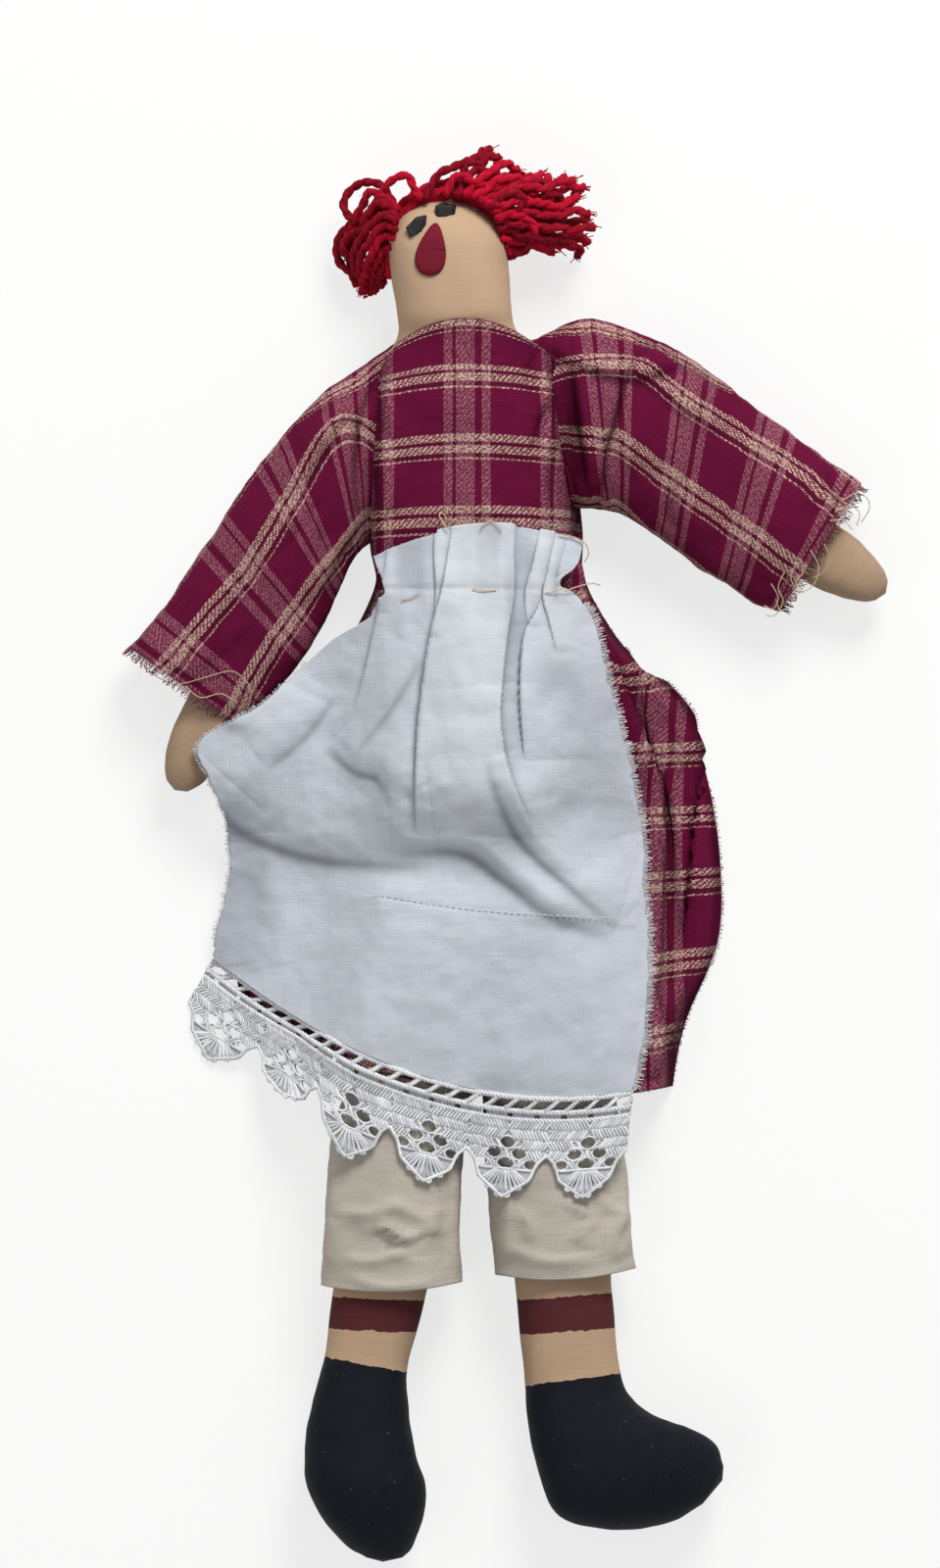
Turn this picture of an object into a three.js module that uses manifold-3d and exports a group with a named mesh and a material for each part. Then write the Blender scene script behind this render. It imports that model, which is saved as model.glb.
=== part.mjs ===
// Rag doll lying on its back, face up: a stuffed muslin body with yarn hair and bead eyes, a homespun
// plaid dress, a gathered linen apron edged with crochet lace, and muslin bloomers.
// Millimetres. +Z is up off the surface it lies on, +Y points to the head, +X is the right of someone
// who looks down on the face. The origin lies on the back of the dress, under the hips.

import * as THREE from 'three';
import { mergeGeometries, mergeVertices } from 'three/addons/utils/BufferGeometryUtils.js';
import Module from 'manifold-3d';

const wasm = await Module();
wasm.setup();

// Cloth, skin and the air between pieces that touch
const seatGap = 0.3;
const clothThickness = 0.9;
const skinThickness = 0.8;
const overrun = 2;

// Head and torso, cut in one
const hipX = -9;
const hipY = 3.5;
const bodyLean = THREE.MathUtils.degToRad(2.7);
const torsoLength = 169;
const hipWidth = 62;
const torsoThickness = 36;
const seamThickness = 4;
const headLength = 41;
const headWidth = 39;
const headThickness = 34;
const headDome = 16;
const headLean = 3.2;

// Face
const eyeLength = 7.8;
const eyeWidth = 5.8;
const eyeHeight = 5;
const eyeTilt = THREE.MathUtils.degToRad(27);
const noseLength = 18;
const noseWidth = 8.4;
const noseThickness = 1;
const noseTilt = THREE.MathUtils.degToRad(-6);

// Yarn hair
const yarnLockWidth = 6.4;
const yarnStrandWidth = 3;
const hairSpreadWidth = 40;
const hairHeight = 18;
const hairKnotWidth = 17;

// Arms
const armLength = 134;
const armWidth = 25;
const armThickness = 20;
const roomMargin = 0.6;
const leftShoulder = new THREE.Vector2(-46, 138.5);
const leftArmAngle = THREE.MathUtils.degToRad(-28.2);
const leftArmSwing = [-5, 60];
const rightShoulder = new THREE.Vector2(8.6, 155);
const rightArmAngle = THREE.MathUtils.degToRad(58.3);
const rightArmSwing = [-25, 40];

// Legs
const legLength = 218;
const legWidth = 28;
const legThickness = 26;
const bootThickness = 34;
const leftHip = new THREE.Vector2(-23.7, -15.4);
const rightHip = new THREE.Vector2(8.3, -15.4);
const hipStripThickness = 3;

// Bloomers
const bloomerThickness = 31;
const bloomerSeatLength = 48;

// Dress
const dressX = -14.4;
const dressY = 169.6;
const dressLength = 246.4;
const skirtWidth = 154;
const sleeveLength = 105.6;
const sleeveThickness = 27;

// Apron and its lace
const apronDropShare = 0.26;
const apronLengthShare = 0.743;
const apronWidthShare = 0.916;
const apronX = -11.5;
const apronY = dressY - apronDropShare * dressLength;
const apronLength = apronLengthShare * dressLength;
const apronWidth = apronWidthShare * skirtWidth;
const threadWidth = 0.8;
const laceDepth = 33;
const laceThickness = 1.1;
const laceScallops = 6;
const laceHoleWidth = 3.4;
const ladderHoleWidth = 1.8;
const laceSwing = [THREE.MathUtils.degToRad(-30), THREE.MathUtils.degToRad(-6)];
const laceColumns = 6;
const ladderSteps = 3;
const threadPoints = 14;

// Grid of the height map that the cloth is draped over
const mapCell = 1.6;

// Sides of the stuffed rings, how square they are, and rows and columns of the draped cloth
const bodySides = 12;
const limbSides = 10;
const sectionPower = 0.86;
const dressGrid = [18, 16];
const apronGrid = [20, 14];
const laceRows = 4;
const lockSteps = 6;
const roundArcSteps = 3;
const stripArcSteps = 5;
const noseArcSteps = 7;
const beadSides = [5, 4];
const knotSides = [8, 6];
const roomSides = 32;
const holeSides = 4;

// Levels: the back of the dress lies on the surface, the body lies on the dress and the bloomers
const backLevel = clothThickness + seatGap;
const bodyLevel = backLevel + clothThickness + seatGap;
const bootLevel = seatGap;
const hipLevel = 14;

const colours = {
  muslin: 0xb89a7c,
  fill: 0xe8e4da,
  bead: 0x101012,
  noseRed: 0x6f1b2a,
  yarn: 0x8a0a20,
  plaid: 0x5a1632,
  linen: 0xc4c7cc,
  lace: 0xb8bcc0,
  bloomer: 0xb4aea2,
};

// Shapes as shares. Rows of the body: height above the seam, width, thickness.
const torsoShares = [
  [0, 0.9, seamThickness / torsoThickness], [0.02, 0.95, 0.36], [0.07, 1, 0.76], [0.16, 1, 0.97],
  [0.35, 0.96, 1], [0.6, 0.9, 0.98], [0.8, 0.87, 0.95], [0.89, 0.82, 0.9], [0.945, 0.73, 0.87],
  [0.985, 0.62, 0.86],
];
const neckShare = 0.96;
const headShares = [[0.1, 0.96, 0.93], [0.35, 0.98, 0.98], [0.6, 1, 1]];
const domeAngleShares = [0.28, 0.55, 0.78];

// Rows of an arm past its shoulder: along, width, thickness
const armShares = [
  [0, 1, 1], [0.25, 1.02, 1], [0.5, 0.95, 0.96], [0.7, 0.86, 0.86], [0.84, 0.83, 0.78],
  [0.91, 0.7, 0.7], [0.96, 0.52, 0.56], [0.988, 0.3, 0.34],
];
const roundEndShares = [0.3, 0.62];

// Rows of a leg past its hip: left x, left y, right x, right y, thickness
const leftLegShares = [
  [-0.075, 0.06, 0.06, 0.06, 0.8], [-0.101, 0.2, 0.046, 0.2, 1], [-0.128, 0.36, 0.022, 0.36, 1],
  [-0.145, 0.5, -0.001, 0.5, 1], [-0.159, 0.605, -0.021, 0.613, 0.98], [-0.17, 0.688, -0.043, 0.698, 0.96],
  [-0.188, 0.756, -0.043, 0.756, 1.08], [-0.198, 0.829, -0.032, 0.829, 1.2],
  [-0.195, 0.875, -0.018, 0.872, 1.26], [-0.17, 0.927, -0.02, 0.922, 1.16],
  [-0.135, 0.966, -0.035, 0.966, 0.8], [-0.107, 0.984, -0.051, 0.984, 0.44],
];
const leftToeShare = [-0.081, 0.99];
const rightLegShares = [
  [-0.065, 0.06, 0.07, 0.06, 0.8], [-0.06, 0.2, 0.09, 0.2, 1], [-0.05, 0.36, 0.103, 0.36, 1],
  [-0.037, 0.5, 0.11, 0.5, 1], [-0.028, 0.6, 0.116, 0.6, 0.98], [-0.016, 0.715, 0.128, 0.712, 0.96],
  [-0.012, 0.768, 0.145, 0.747, 1.05], [0, 0.838, 0.172, 0.768, 1.2], [0.028, 0.915, 0.2, 0.78, 1.26],
  [0.087, 0.938, 0.229, 0.79, 1.22], [0.153, 0.94, 0.256, 0.802, 1.1], [0.211, 0.927, 0.273, 0.82, 0.86],
  [0.25, 0.903, 0.282, 0.847, 0.5],
];
const rightToeShare = [0.28, 0.868];
const bootStartShare = 0.7;
const bootBlendShare = 0.07;
const bootSwellShare = 1.26;

// How cloth lies: crowding of its rows of points towards the side edges, sag, and rounds of settling
const edgeCrowdShare = 0.85;
const sagShare = 0.07;
const drapeRounds = 80;

// Rows of a bloomer leg past the hip: left x, left y, right x, right y, thickness
const leftBloomerShares = [
  [-0.073, 0, 0.07, 0, 0.55], [-0.091, 0.1, 0.07, 0.1, 0.86], [-0.129, 0.24, 0.058, 0.24, 1],
  [-0.159, 0.38, 0.04, 0.38, 1], [-0.169, 0.49, 0.033, 0.49, 1], [-0.173, 0.576, 0.039, 0.57, 1],
];
const rightBloomerShares = [
  [-0.07, 0, 0.073, 0, 0.55], [-0.073, 0.1, 0.094, 0.1, 0.86], [-0.078, 0.24, 0.112, 0.24, 1],
  [-0.076, 0.38, 0.134, 0.38, 1], [-0.068, 0.485, 0.142, 0.478, 1], [-0.058, 0.56, 0.15, 0.55, 1],
];

// Rows of the dress panel under its collar: left x, left y, right x, right y, upward arch
const dressShares = [
  [-0.148, 0.016, 0.148, 0.016, 0.034], [-0.188, 0.078, 0.219, 0.062, 0.008], [-0.2, 0.169, 0.231, 0.156, 0],
  [-0.198, 0.279, 0.248, 0.26, 0], [-0.19, 0.338, 0.256, 0.338, 0], [-0.26, 0.431, 0.345, 0.426, 0],
  [-0.354, 0.548, 0.46, 0.496, 0], [-0.423, 0.669, 0.515, 0.597, -0.005],
  [-0.463, 0.773, 0.538, 0.701, -0.015], [-0.483, 0.838, 0.533, 0.805, -0.025],
  [-0.477, 0.877, 0.465, 0.909, -0.04], [-0.444, 0.909, 0.435, 0.997, -0.05],
];

// Rows of a sleeve from its shoulder: outer x, outer y, inner x, inner y
const leftSleeveShares = [
  [0.06, -0.245, 0.012, 0.348], [-0.107, -0.129, -0.024, 0.379], [-0.251, 0.011, -0.073, 0.464],
  [-0.403, 0.208, -0.132, 0.582], [-0.505, 0.367, -0.205, 0.709], [-0.617, 0.532, -0.29, 0.821],
  [-0.739, 0.676, -0.394, 0.924],
];
const rightSleeveShares = [
  [0.01, -0.12, 0.14, 0.395], [0.15, -0.172, 0.216, 0.4], [0.31, -0.132, 0.295, 0.433],
  [0.46, -0.055, 0.392, 0.501], [0.595, 0.036, 0.486, 0.571], [0.73, 0.139, 0.6, 0.641],
  [0.866, 0.242, 0.682, 0.69], [1, 0.333, 0.755, 0.715],
];

// Rows of the apron under its raw top edge, as on the dress
const apronShares = [
  [-0.23, 0.049, 0.252, 0.023, 0.038], [-0.218, 0.105, 0.236, 0.105, 0.006], [-0.25, 0.161, 0.28, 0.175, 0],
  [-0.339, 0.205, 0.302, 0.259, 0], [-0.486, 0.311, 0.332, 0.341, 0], [-0.632, 0.379, 0.359, 0.428, 0],
  [-0.611, 0.446, 0.377, 0.498, 0], [-0.577, 0.507, 0.389, 0.568, 0], [-0.566, 0.577, 0.389, 0.643, 0],
  [-0.577, 0.656, 0.4, 0.717, -0.012], [-0.595, 0.71, 0.4, 0.804, -0.035], [-0.6, 0.74, 0.389, 0.905, -0.062],
  [-0.602, 0.766, 0.366, 1, -0.091],
];
const waistShare = 0.105;

// Folds raised on a panel: from x, from y, to x, to y, half width as a share of its width, height
const apronFoldShares = [
  [-0.05, 0, -0.12, 0.54, 0.04, 1], [0.09, 0, 0.04, 0.5, 0.04, 1], [0.19, 0.02, 0.16, 0.3, 0.03, 0.7],
  [-0.64, 0.37, -0.34, 0.49, 0.08, 2], [-0.34, 0.49, 0.05, 0.52, 0.08, 2], [0.05, 0.52, 0.32, 0.66, 0.08, 1.6],
];
const dressFoldShares = [
  [0.3, 0.4, 0.46, 0.6, 0.03, 1.6], [0.4, 0.55, 0.44, 0.9, 0.03, 1.4], [0.2, 0.08, 0.21, 0.24, 0.02, 0.8],
  [0.48, 0.62, 0.47, 0.86, 0.02, 0.9],
];
const foldHeight = 2.6;

// Yarn locks: points as shares of the spread of the hair from the middle of the forehead, and height
const leftLockShares = [
  [[-0.34, 0.34, 0.2], [-0.54, 0.49, 0.1], [-0.7, 0.47, 0.08], [-0.81, 0.36, 0.1]],
  [[-0.4, 0.28, 0.3], [-0.62, 0.38, 0.3], [-0.79, 0.3, 0.26], [-0.87, 0.14, 0.2]],
  [[-0.42, 0.2, -0.05], [-0.65, 0.2, -0.12], [-0.81, 0.09, -0.12], [-0.9, -0.1, -0.08]],
  [[-0.44, 0.08, 0.25], [-0.62, 0.01, 0.3], [-0.73, -0.15, 0.25], [-0.78, -0.31, 0.15]],
  [[-0.44, 0.12, 0.05], [-0.68, 0.05, 0.08], [-0.81, -0.09, 0.06], [-0.89, -0.23, 0.02]],
];
const rightLockShares = [
  [[0.1, 0.34, 0.1], [0.2, 0.52, 0.1], [0.28, 0.65, 0.1], [0.33, 0.73, 0.08]],
  [[0.14, 0.32, 0.2], [0.44, 0.54, 0.2], [0.66, 0.58, 0.16], [0.82, 0.54, 0.1]],
  [[0.2, 0.3, -0.02], [0.54, 0.45, -0.06], [0.82, 0.46, -0.05], [1.07, 0.39, 0]],
  [[0.28, 0.24, 0.28], [0.62, 0.31, 0.3], [0.9, 0.28, 0.24], [1.12, 0.17, 0.16]],
  [[0.36, 0.14, 0.05], [0.66, 0.17, 0.08], [0.9, 0.1, 0.08], [1.1, 0.01, 0.05]],
  [[0.38, 0.03, 0.25], [0.62, 0.06, 0.28], [0.82, 0.01, 0.22], [1.03, -0.06, 0.12]],
];
const topLockShares = [
  [[-0.42, 0.28, 0.16], [-0.26, 0.385, 0.14], [-0.06, 0.44, 0.1], [0.18, 0.41, 0.12]],
  [[-0.22, 0.4, 0.13], [-0.16, 0.54, 0.14], [-0.01, 0.61, 0.16], [0.09, 0.54, 0.15], [0.14, 0.42, 0.12]],
];
const leftCoreShare = [-0.5, 0.24, 0.08];
const rightCoreShare = [0.44, 0.33, 0.1];

// Shares of the face, the lace and the seams
const eyeSeatShare = 0.1;
const eyePlaceShares = { left: [-0.63, 0.34], right: [-0.15, 0.59] };
const nosePlaceShare = [-0.35, -0.15];
const laceSwingShare = 0.45;
const scallopRoundShare = 0.7;
const scallopValleyShare = 0.7;
const scallopDepthShares = [[0.84], [0.74], [1.04], [1], [1], [1]];
const diamondShares = [[0.42, 0], [0.56, -0.13], [0.56, 0.13], [0.7, 0], [0.78, 0.24]];
const ladderShare = 0.09;
const slitShare = 0.55;
const threadEndShares = [-0.19, 0.21];

// Solids from geometries and back
function indexed(geometry) {
  const bare = geometry.clone();
  bare.deleteAttribute('normal');
  bare.deleteAttribute('uv');
  return mergeVertices(bare);
}

function solidOf(geometry) {
  const merged = indexed(geometry);
  return new wasm.Manifold(new wasm.Mesh({
    numProp: 3,
    vertProperties: new Float32Array(merged.attributes.position.array),
    triVerts: new Uint32Array(merged.index.array),
  }));
}

function geometryOf(solid) {
  const mesh = solid.getMesh();
  const geometry = new THREE.BufferGeometry();
  geometry.setAttribute('position', new THREE.BufferAttribute(new Float32Array(mesh.vertProperties), 3));
  geometry.setIndex(new THREE.BufferAttribute(new Uint32Array(mesh.triVerts), 1));
  geometry.computeVertexNormals();
  return geometry;
}

/** A closed geometry from points and triangles, turned so that its faces point out. */
function closedGeometry(points, triangles) {
  let volume = 0;
  for (const [a, b, c] of triangles) {
    volume += points[a].dot(points[b].clone().cross(points[c]));
  }
  const facing = volume > 0 ? triangles : triangles.map(([a, b, c]) => [a, c, b]);
  const geometry = new THREE.BufferGeometry();
  geometry.setFromPoints(points);
  geometry.setIndex(facing.flat());
  geometry.computeVertexNormals();
  return geometry;
}

/** Rings of equally many points joined into one closed form, with a fan over each end. */
function loft(rings, startPoint, endPoint) {
  const sides = rings[0].length;
  const points = [...rings.flat(), startPoint, endPoint];
  const start = points.length - 2;
  const end = points.length - 1;
  const triangles = [];
  for (let k = 0; k < sides; k += 1) {
    const next = (k + 1) % sides;
    for (let ring = 0; ring + 1 < rings.length; ring += 1) {
      const near = ring * sides;
      const far = near + sides;
      triangles.push([near + k, near + next, far + next], [near + k, far + next, far + k]);
    }
    const last = (rings.length - 1) * sides;
    triangles.push([start, next, k], [end, last + k, last + next]);
  }
  return closedGeometry(points, triangles);
}

const signedPower = (value, power) => Math.sign(value) * Math.abs(value) ** power;

/** One ring of a stuffed form: a rounded section between two side points. */
function section(rung, sides, roundness) {
  const ring = [];
  for (let k = 0; k < sides; k += 1) {
    const angle = (2 * Math.PI * k) / sides;
    const across = signedPower(Math.cos(angle), roundness);
    const up = signedPower(Math.sin(angle), roundness);
    const side = rung.left.clone().lerp(rung.right, (1 + across) / 2);
    ring.push(new THREE.Vector3(side.x, side.y, rung.middle + (up * rung.thickness) / 2));
  }
  return ring;
}

function ringCentre(ring) {
  const centre = new THREE.Vector3();
  ring.forEach((point) => centre.add(point));
  return centre.divideScalar(ring.length);
}

/** A stuffed form through a ladder of rungs; its end is a blunt point at `tip`, if it has one. */
function stuffedForm(rungs, sides, roundness, tip) {
  const rings = rungs.map((rung) => section(rung, sides, roundness));
  const end = tip ?? ringCentre(rings[rings.length - 1]);
  return loft(rings, ringCentre(rings[0]), end);
}

/** The same form with its surface moved out, or in where the distance is negative. */
function moved(geometry, distance) {
  const result = geometry.clone();
  result.computeVertexNormals();
  const { position, normal } = result.attributes;
  for (let k = 0; k < position.count; k += 1) {
    position.setXYZ(
      k,
      position.getX(k) + normal.getX(k) * distance,
      position.getY(k) + normal.getY(k) * distance,
      position.getZ(k) + normal.getZ(k) * distance,
    );
  }
  return result;
}

/** A box with its middle at a point, turned about Z. */
function block(sizeX, sizeY, sizeZ, x, y, z, turn = 0) {
  const geometry = new THREE.BoxGeometry(sizeX, sizeY, sizeZ);
  geometry.rotateZ(turn);
  geometry.translate(x, y, z);
  return solidOf(geometry);
}

// Body: head and torso

const alongBody = (across, up) => new THREE.Vector2(
  hipX + across * Math.cos(bodyLean) - up * Math.sin(bodyLean),
  hipY + across * Math.sin(bodyLean) + up * Math.cos(bodyLean),
);

/** How far the head leans to the left at a height, from nothing at the neck. */
const leanAt = (up) => headLean * Math.max(0, (up - neckShare * torsoLength) / headLength);

function bodyRung(up, width, thickness, middle) {
  const [left, right] = [-width / 2, width / 2].map((across) => alongBody(across - leanAt(up), up));
  return { left, right, thickness, middle };
}

function bodyForm() {
  const headMiddle = bodyLevel + headThickness / 2;
  const torso = torsoShares.map(([up, width, thickness]) => {
    const depth = thickness * torsoThickness;
    return bodyRung(up * torsoLength, width * hipWidth, depth, Math.max(hipLevel, bodyLevel + depth / 2));
  });
  const head = headShares.map(([up, width, thickness]) => (
    bodyRung(torsoLength + up * headLength, width * headWidth, thickness * headThickness, headMiddle)
  ));
  const dome = domeAngleShares.map((share) => {
    const angle = (share * Math.PI) / 2;
    const up = torsoLength + headLength - headDome * (1 - Math.sin(angle));
    return bodyRung(up, headWidth * Math.cos(angle), headThickness * Math.cos(angle), headMiddle);
  });
  const crownUp = torsoLength + headLength;
  const crown = alongBody(-leanAt(crownUp), crownUp);
  const crownPoint = new THREE.Vector3(crown.x, crown.y, headMiddle);
  return stuffedForm([...torso, ...head, ...dome], bodySides, sectionPower, crownPoint);
}

// Limbs

/** Rows of a round end about a joint, towards the body. */
function roundEnd(joint, direction, width, thickness, middle) {
  const across = new THREE.Vector2(-direction.y, direction.x);
  return roundEndShares.map((share) => {
    const angle = (share * Math.PI) / 2;
    const reach = (width / 2) * Math.sin(angle);
    const centre = joint.clone().addScaledVector(direction, (-width / 2) * Math.cos(angle));
    return {
      left: centre.clone().addScaledVector(across, -reach),
      right: centre.clone().addScaledVector(across, reach),
      thickness: thickness * Math.sin(angle),
      middle,
    };
  });
}

function armForm(shoulder, angle) {
  const direction = new THREE.Vector2(Math.sin(angle), -Math.cos(angle));
  const across = new THREE.Vector2(-direction.y, direction.x);
  const middle = bodyLevel + armThickness / 2;
  const rows = armShares.map(([along, width, thickness]) => {
    const centre = shoulder.clone().addScaledVector(direction, along * armLength);
    return {
      left: centre.clone().addScaledVector(across, (-width * armWidth) / 2),
      right: centre.clone().addScaledVector(across, (width * armWidth) / 2),
      thickness: thickness * armThickness,
      middle,
    };
  });
  const tip = shoulder.clone().addScaledVector(direction, armLength);
  const start = roundEnd(shoulder, direction, armWidth, armThickness, middle);
  return stuffedForm([...start, ...rows], limbSides, sectionPower, new THREE.Vector3(tip.x, tip.y, middle));
}

/** How far a row of a leg lies in its boot, from 0 to 1. */
function bootShare(down) {
  return THREE.MathUtils.smoothstep(down, bootStartShare - bootBlendShare, bootStartShare + bootBlendShare);
}

function legForm(hip, shares, [toeXShare, toeYShare]) {
  const rows = shares.map(([leftX, leftY, rightX, rightY, share]) => {
    const boot = bootShare((leftY + rightY) / 2);
    const thickness = share * THREE.MathUtils.lerp(legThickness, bootThickness / bootSwellShare, boot);
    const level = THREE.MathUtils.lerp(bodyLevel, bootLevel, boot);
    return {
      left: new THREE.Vector2(hip.x + leftX * legLength, hip.y - leftY * legLength),
      right: new THREE.Vector2(hip.x + rightX * legLength, hip.y - rightY * legLength),
      thickness,
      middle: Math.max(hipLevel, level + thickness / 2),
    };
  });
  const hipRow = {
    left: new THREE.Vector2(hip.x - legWidth / 2, hip.y),
    right: new THREE.Vector2(hip.x + legWidth / 2, hip.y),
    thickness: legThickness / 2,
    middle: hipLevel,
  };
  const start = roundEnd(hip, new THREE.Vector2(0, -1), legWidth, legThickness / 2, hipLevel);
  const toe = new THREE.Vector3(hip.x + toeXShare * legLength, hip.y - toeYShare * legLength, hipLevel);
  return stuffedForm([...start, hipRow, ...rows], limbSides, sectionPower, toe);
}

/** Skin and stuffing of a form: a shell with a slit at its seam, and the fill that shows in it. */
function skinAndStuffing(form, slit, cutters = []) {
  let skin = solidOf(form).subtract(solidOf(moved(form, -skinThickness))).subtract(slit);
  let stuffing = solidOf(moved(form, -skinThickness - seatGap));
  cutters.forEach((cutter) => {
    skin = skin.subtract(cutter);
    stuffing = stuffing.subtract(cutter);
  });
  return [geometryOf(skin), geometryOf(stuffing)];
}

// Cloth draped over what lies under it

/** The highest surface over each cell of the plane. */
class HeightMap {
  constructor(cell) {
    this.cell = cell;
    this.heights = new Map();
  }

  index(value) {
    return Math.round(value / this.cell);
  }

  add(geometry) {
    const { position } = geometry.attributes;
    const corner = geometry.index.array;
    const [a, b, c] = [new THREE.Vector3(), new THREE.Vector3(), new THREE.Vector3()];
    for (let k = 0; k < corner.length; k += 3) {
      a.fromBufferAttribute(position, corner[k]);
      b.fromBufferAttribute(position, corner[k + 1]);
      c.fromBufferAttribute(position, corner[k + 2]);
      this.addTriangle(a, b, c);
    }
    return this;
  }

  addTriangle(a, b, c) {
    const area = (b.x - a.x) * (c.y - a.y) - (c.x - a.x) * (b.y - a.y);
    const firstRow = this.index(Math.min(a.y, b.y, c.y));
    const lastRow = this.index(Math.max(a.y, b.y, c.y));
    const firstColumn = this.index(Math.min(a.x, b.x, c.x));
    const lastColumn = this.index(Math.max(a.x, b.x, c.x));
    for (let row = firstRow; row <= lastRow; row += 1) {
      for (let column = firstColumn; column <= lastColumn; column += 1) {
        const x = column * this.cell;
        const y = row * this.cell;
        const second = ((x - a.x) * (c.y - a.y) - (c.x - a.x) * (y - a.y)) / area;
        const third = ((b.x - a.x) * (y - a.y) - (x - a.x) * (b.y - a.y)) / area;
        const inside = second >= 0 && third >= 0 && second + third <= 1;
        if (inside) this.raise(column, row, a.z + second * (b.z - a.z) + third * (c.z - a.z));
      }
    }
    [a, b, c].forEach((point) => this.raise(this.index(point.x), this.index(point.y), point.z));
  }

  raise(column, row, height) {
    const key = `${column},${row}`;
    this.heights.set(key, Math.max(height, this.heights.get(key) ?? 0));
  }

  /** The highest surface within a reach of a point. */
  highest(x, y, reachX, reachY) {
    let height = 0;
    for (let row = this.index(y - reachY); row <= this.index(y + reachY); row += 1) {
      for (let column = this.index(x - reachX); column <= this.index(x + reachX); column += 1) {
        height = Math.max(height, this.heights.get(`${column},${row}`) ?? 0);
      }
    }
    return height;
  }
}

const cubic = (a, b, c, d, t) => (
  b + (t * (c - a)) / 2 + t * t * (a - 2.5 * b + 2 * c - d / 2) + t ** 3 * (1.5 * (b - c) + (d - a) / 2)
);

/** A value along rows of a table, from 0 at the first row to 1 at the last, through smooth curves. */
function alongRows(rows, column, share) {
  const place = share * (rows.length - 1);
  const row = Math.min(Math.floor(place), rows.length - 2);
  const pick = (index) => rows[THREE.MathUtils.clamp(index, 0, rows.length - 1)][column];
  return cubic(pick(row - 1), pick(row), pick(row + 1), pick(row + 2), place - row);
}

/** Plan of a panel: rows of points between its side edges, closer together near the edges. */
function panelPlan(shares, anchorX, anchorY, width, length, rowCount, columnCount) {
  const plan = [];
  for (let i = 0; i <= rowCount; i += 1) {
    const columns = [...shares[0].keys()];
    const [leftX, leftY, rightX, rightY, arch] = columns.map((k) => alongRows(shares, k, i / rowCount));
    const row = [];
    for (let j = 0; j <= columnCount; j += 1) {
      const crowded = Math.sin(Math.PI * edgeCrowdShare * (j / columnCount - 0.5));
      const across = crowded / Math.sin((Math.PI * edgeCrowdShare) / 2);
      const x = THREE.MathUtils.lerp(leftX, rightX, (1 + across) / 2) * width;
      const y = THREE.MathUtils.lerp(leftY, rightY, (1 + across) / 2) - arch * (1 - across * across);
      row.push(new THREE.Vector3(anchorX + x, anchorY - y * length, 0));
    }
    plan.push(row);
  }
  return plan;
}

function neighbours(plan, i, j) {
  return [plan[i - 1]?.[j], plan[i + 1]?.[j], plan[i][j - 1], plan[i][j + 1]].filter(Boolean);
}

/** Raises the corners of each triangle of a panel that would cut into the height map. */
function liftOver(plan, map) {
  const barycentric = new THREE.Vector3();
  const liftTriangle = (corners) => {
    const [a, b, c] = corners.map((point) => new THREE.Vector3(point.x, point.y, 0));
    const [rows, columns] = ['y', 'x'].map((key) => corners.map((point) => map.index(point[key])));
    let lack = 0;
    for (let row = Math.min(...rows); row <= Math.max(...rows); row += 1) {
      for (let column = Math.min(...columns); column <= Math.max(...columns); column += 1) {
        const place = new THREE.Vector3(column * map.cell, row * map.cell, 0);
        THREE.Triangle.getBarycoord(place, a, b, c, barycentric);
        const inside = Math.min(...barycentric.toArray()) >= 0;
        const level = barycentric.dot(new THREE.Vector3(...corners.map((point) => point.z)));
        const low = map.highest(place.x, place.y, map.cell, map.cell) + seatGap;
        if (inside) lack = Math.max(lack, low - level);
      }
    }
    corners.forEach((point) => { point.z += lack; });
  };
  plan.slice(1).forEach((row, i) => row.slice(1).forEach((point, j) => {
    liftTriangle([plan[i][j], row[j], point]);
    liftTriangle([plan[i][j], point, plan[i][j + 1]]);
  }));
  return plan;
}

/** Drops a panel onto a height map: no point goes under it, and what is free sags between. */
function drape(plan, map, pinnedSides) {
  const lows = plan.map((row) => row.map((point) => (
    map.highest(point.x, point.y, map.cell, map.cell) + seatGap
  )));
  plan.forEach((row, i) => row.forEach((point, j) => { point.z = lows[i][j]; }));
  for (let round = 0; round < drapeRounds; round += 1) {
    plan.forEach((row, i) => row.forEach((point, j) => {
      const near = neighbours(plan, i, j);
      const level = near.reduce((sum, other) => sum + other.z, 0) / near.length;
      const spacing = near.reduce((sum, other) => sum + other.distanceTo(point), 0) / near.length;
      const atSide = j === 0 || j === row.length - 1;
      const sagged = pinnedSides && atSide ? 0 : level - sagShare * spacing;
      point.z = Math.max(lows[i][j], sagged);
    }));
  }
  return liftOver(plan, map);
}

/** Raises folds along lines on a draped panel. */
function raiseFolds(plan, folds, anchorX, anchorY, width, length) {
  folds.forEach(([fromX, fromY, toX, toY, halfWidth, share]) => {
    const line = new THREE.Line3(
      new THREE.Vector3(anchorX + fromX * width, anchorY - fromY * length, 0),
      new THREE.Vector3(anchorX + toX * width, anchorY - toY * length, 0),
    );
    const nearest = new THREE.Vector3();
    plan.flat().forEach((point) => {
      const flat = new THREE.Vector3(point.x, point.y, 0);
      const apart = line.closestPointToPoint(flat, true, nearest).distanceTo(flat) / (halfWidth * width);
      point.z += foldHeight * share * Math.exp(-apart * apart);
    });
  });
  return plan;
}

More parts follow.
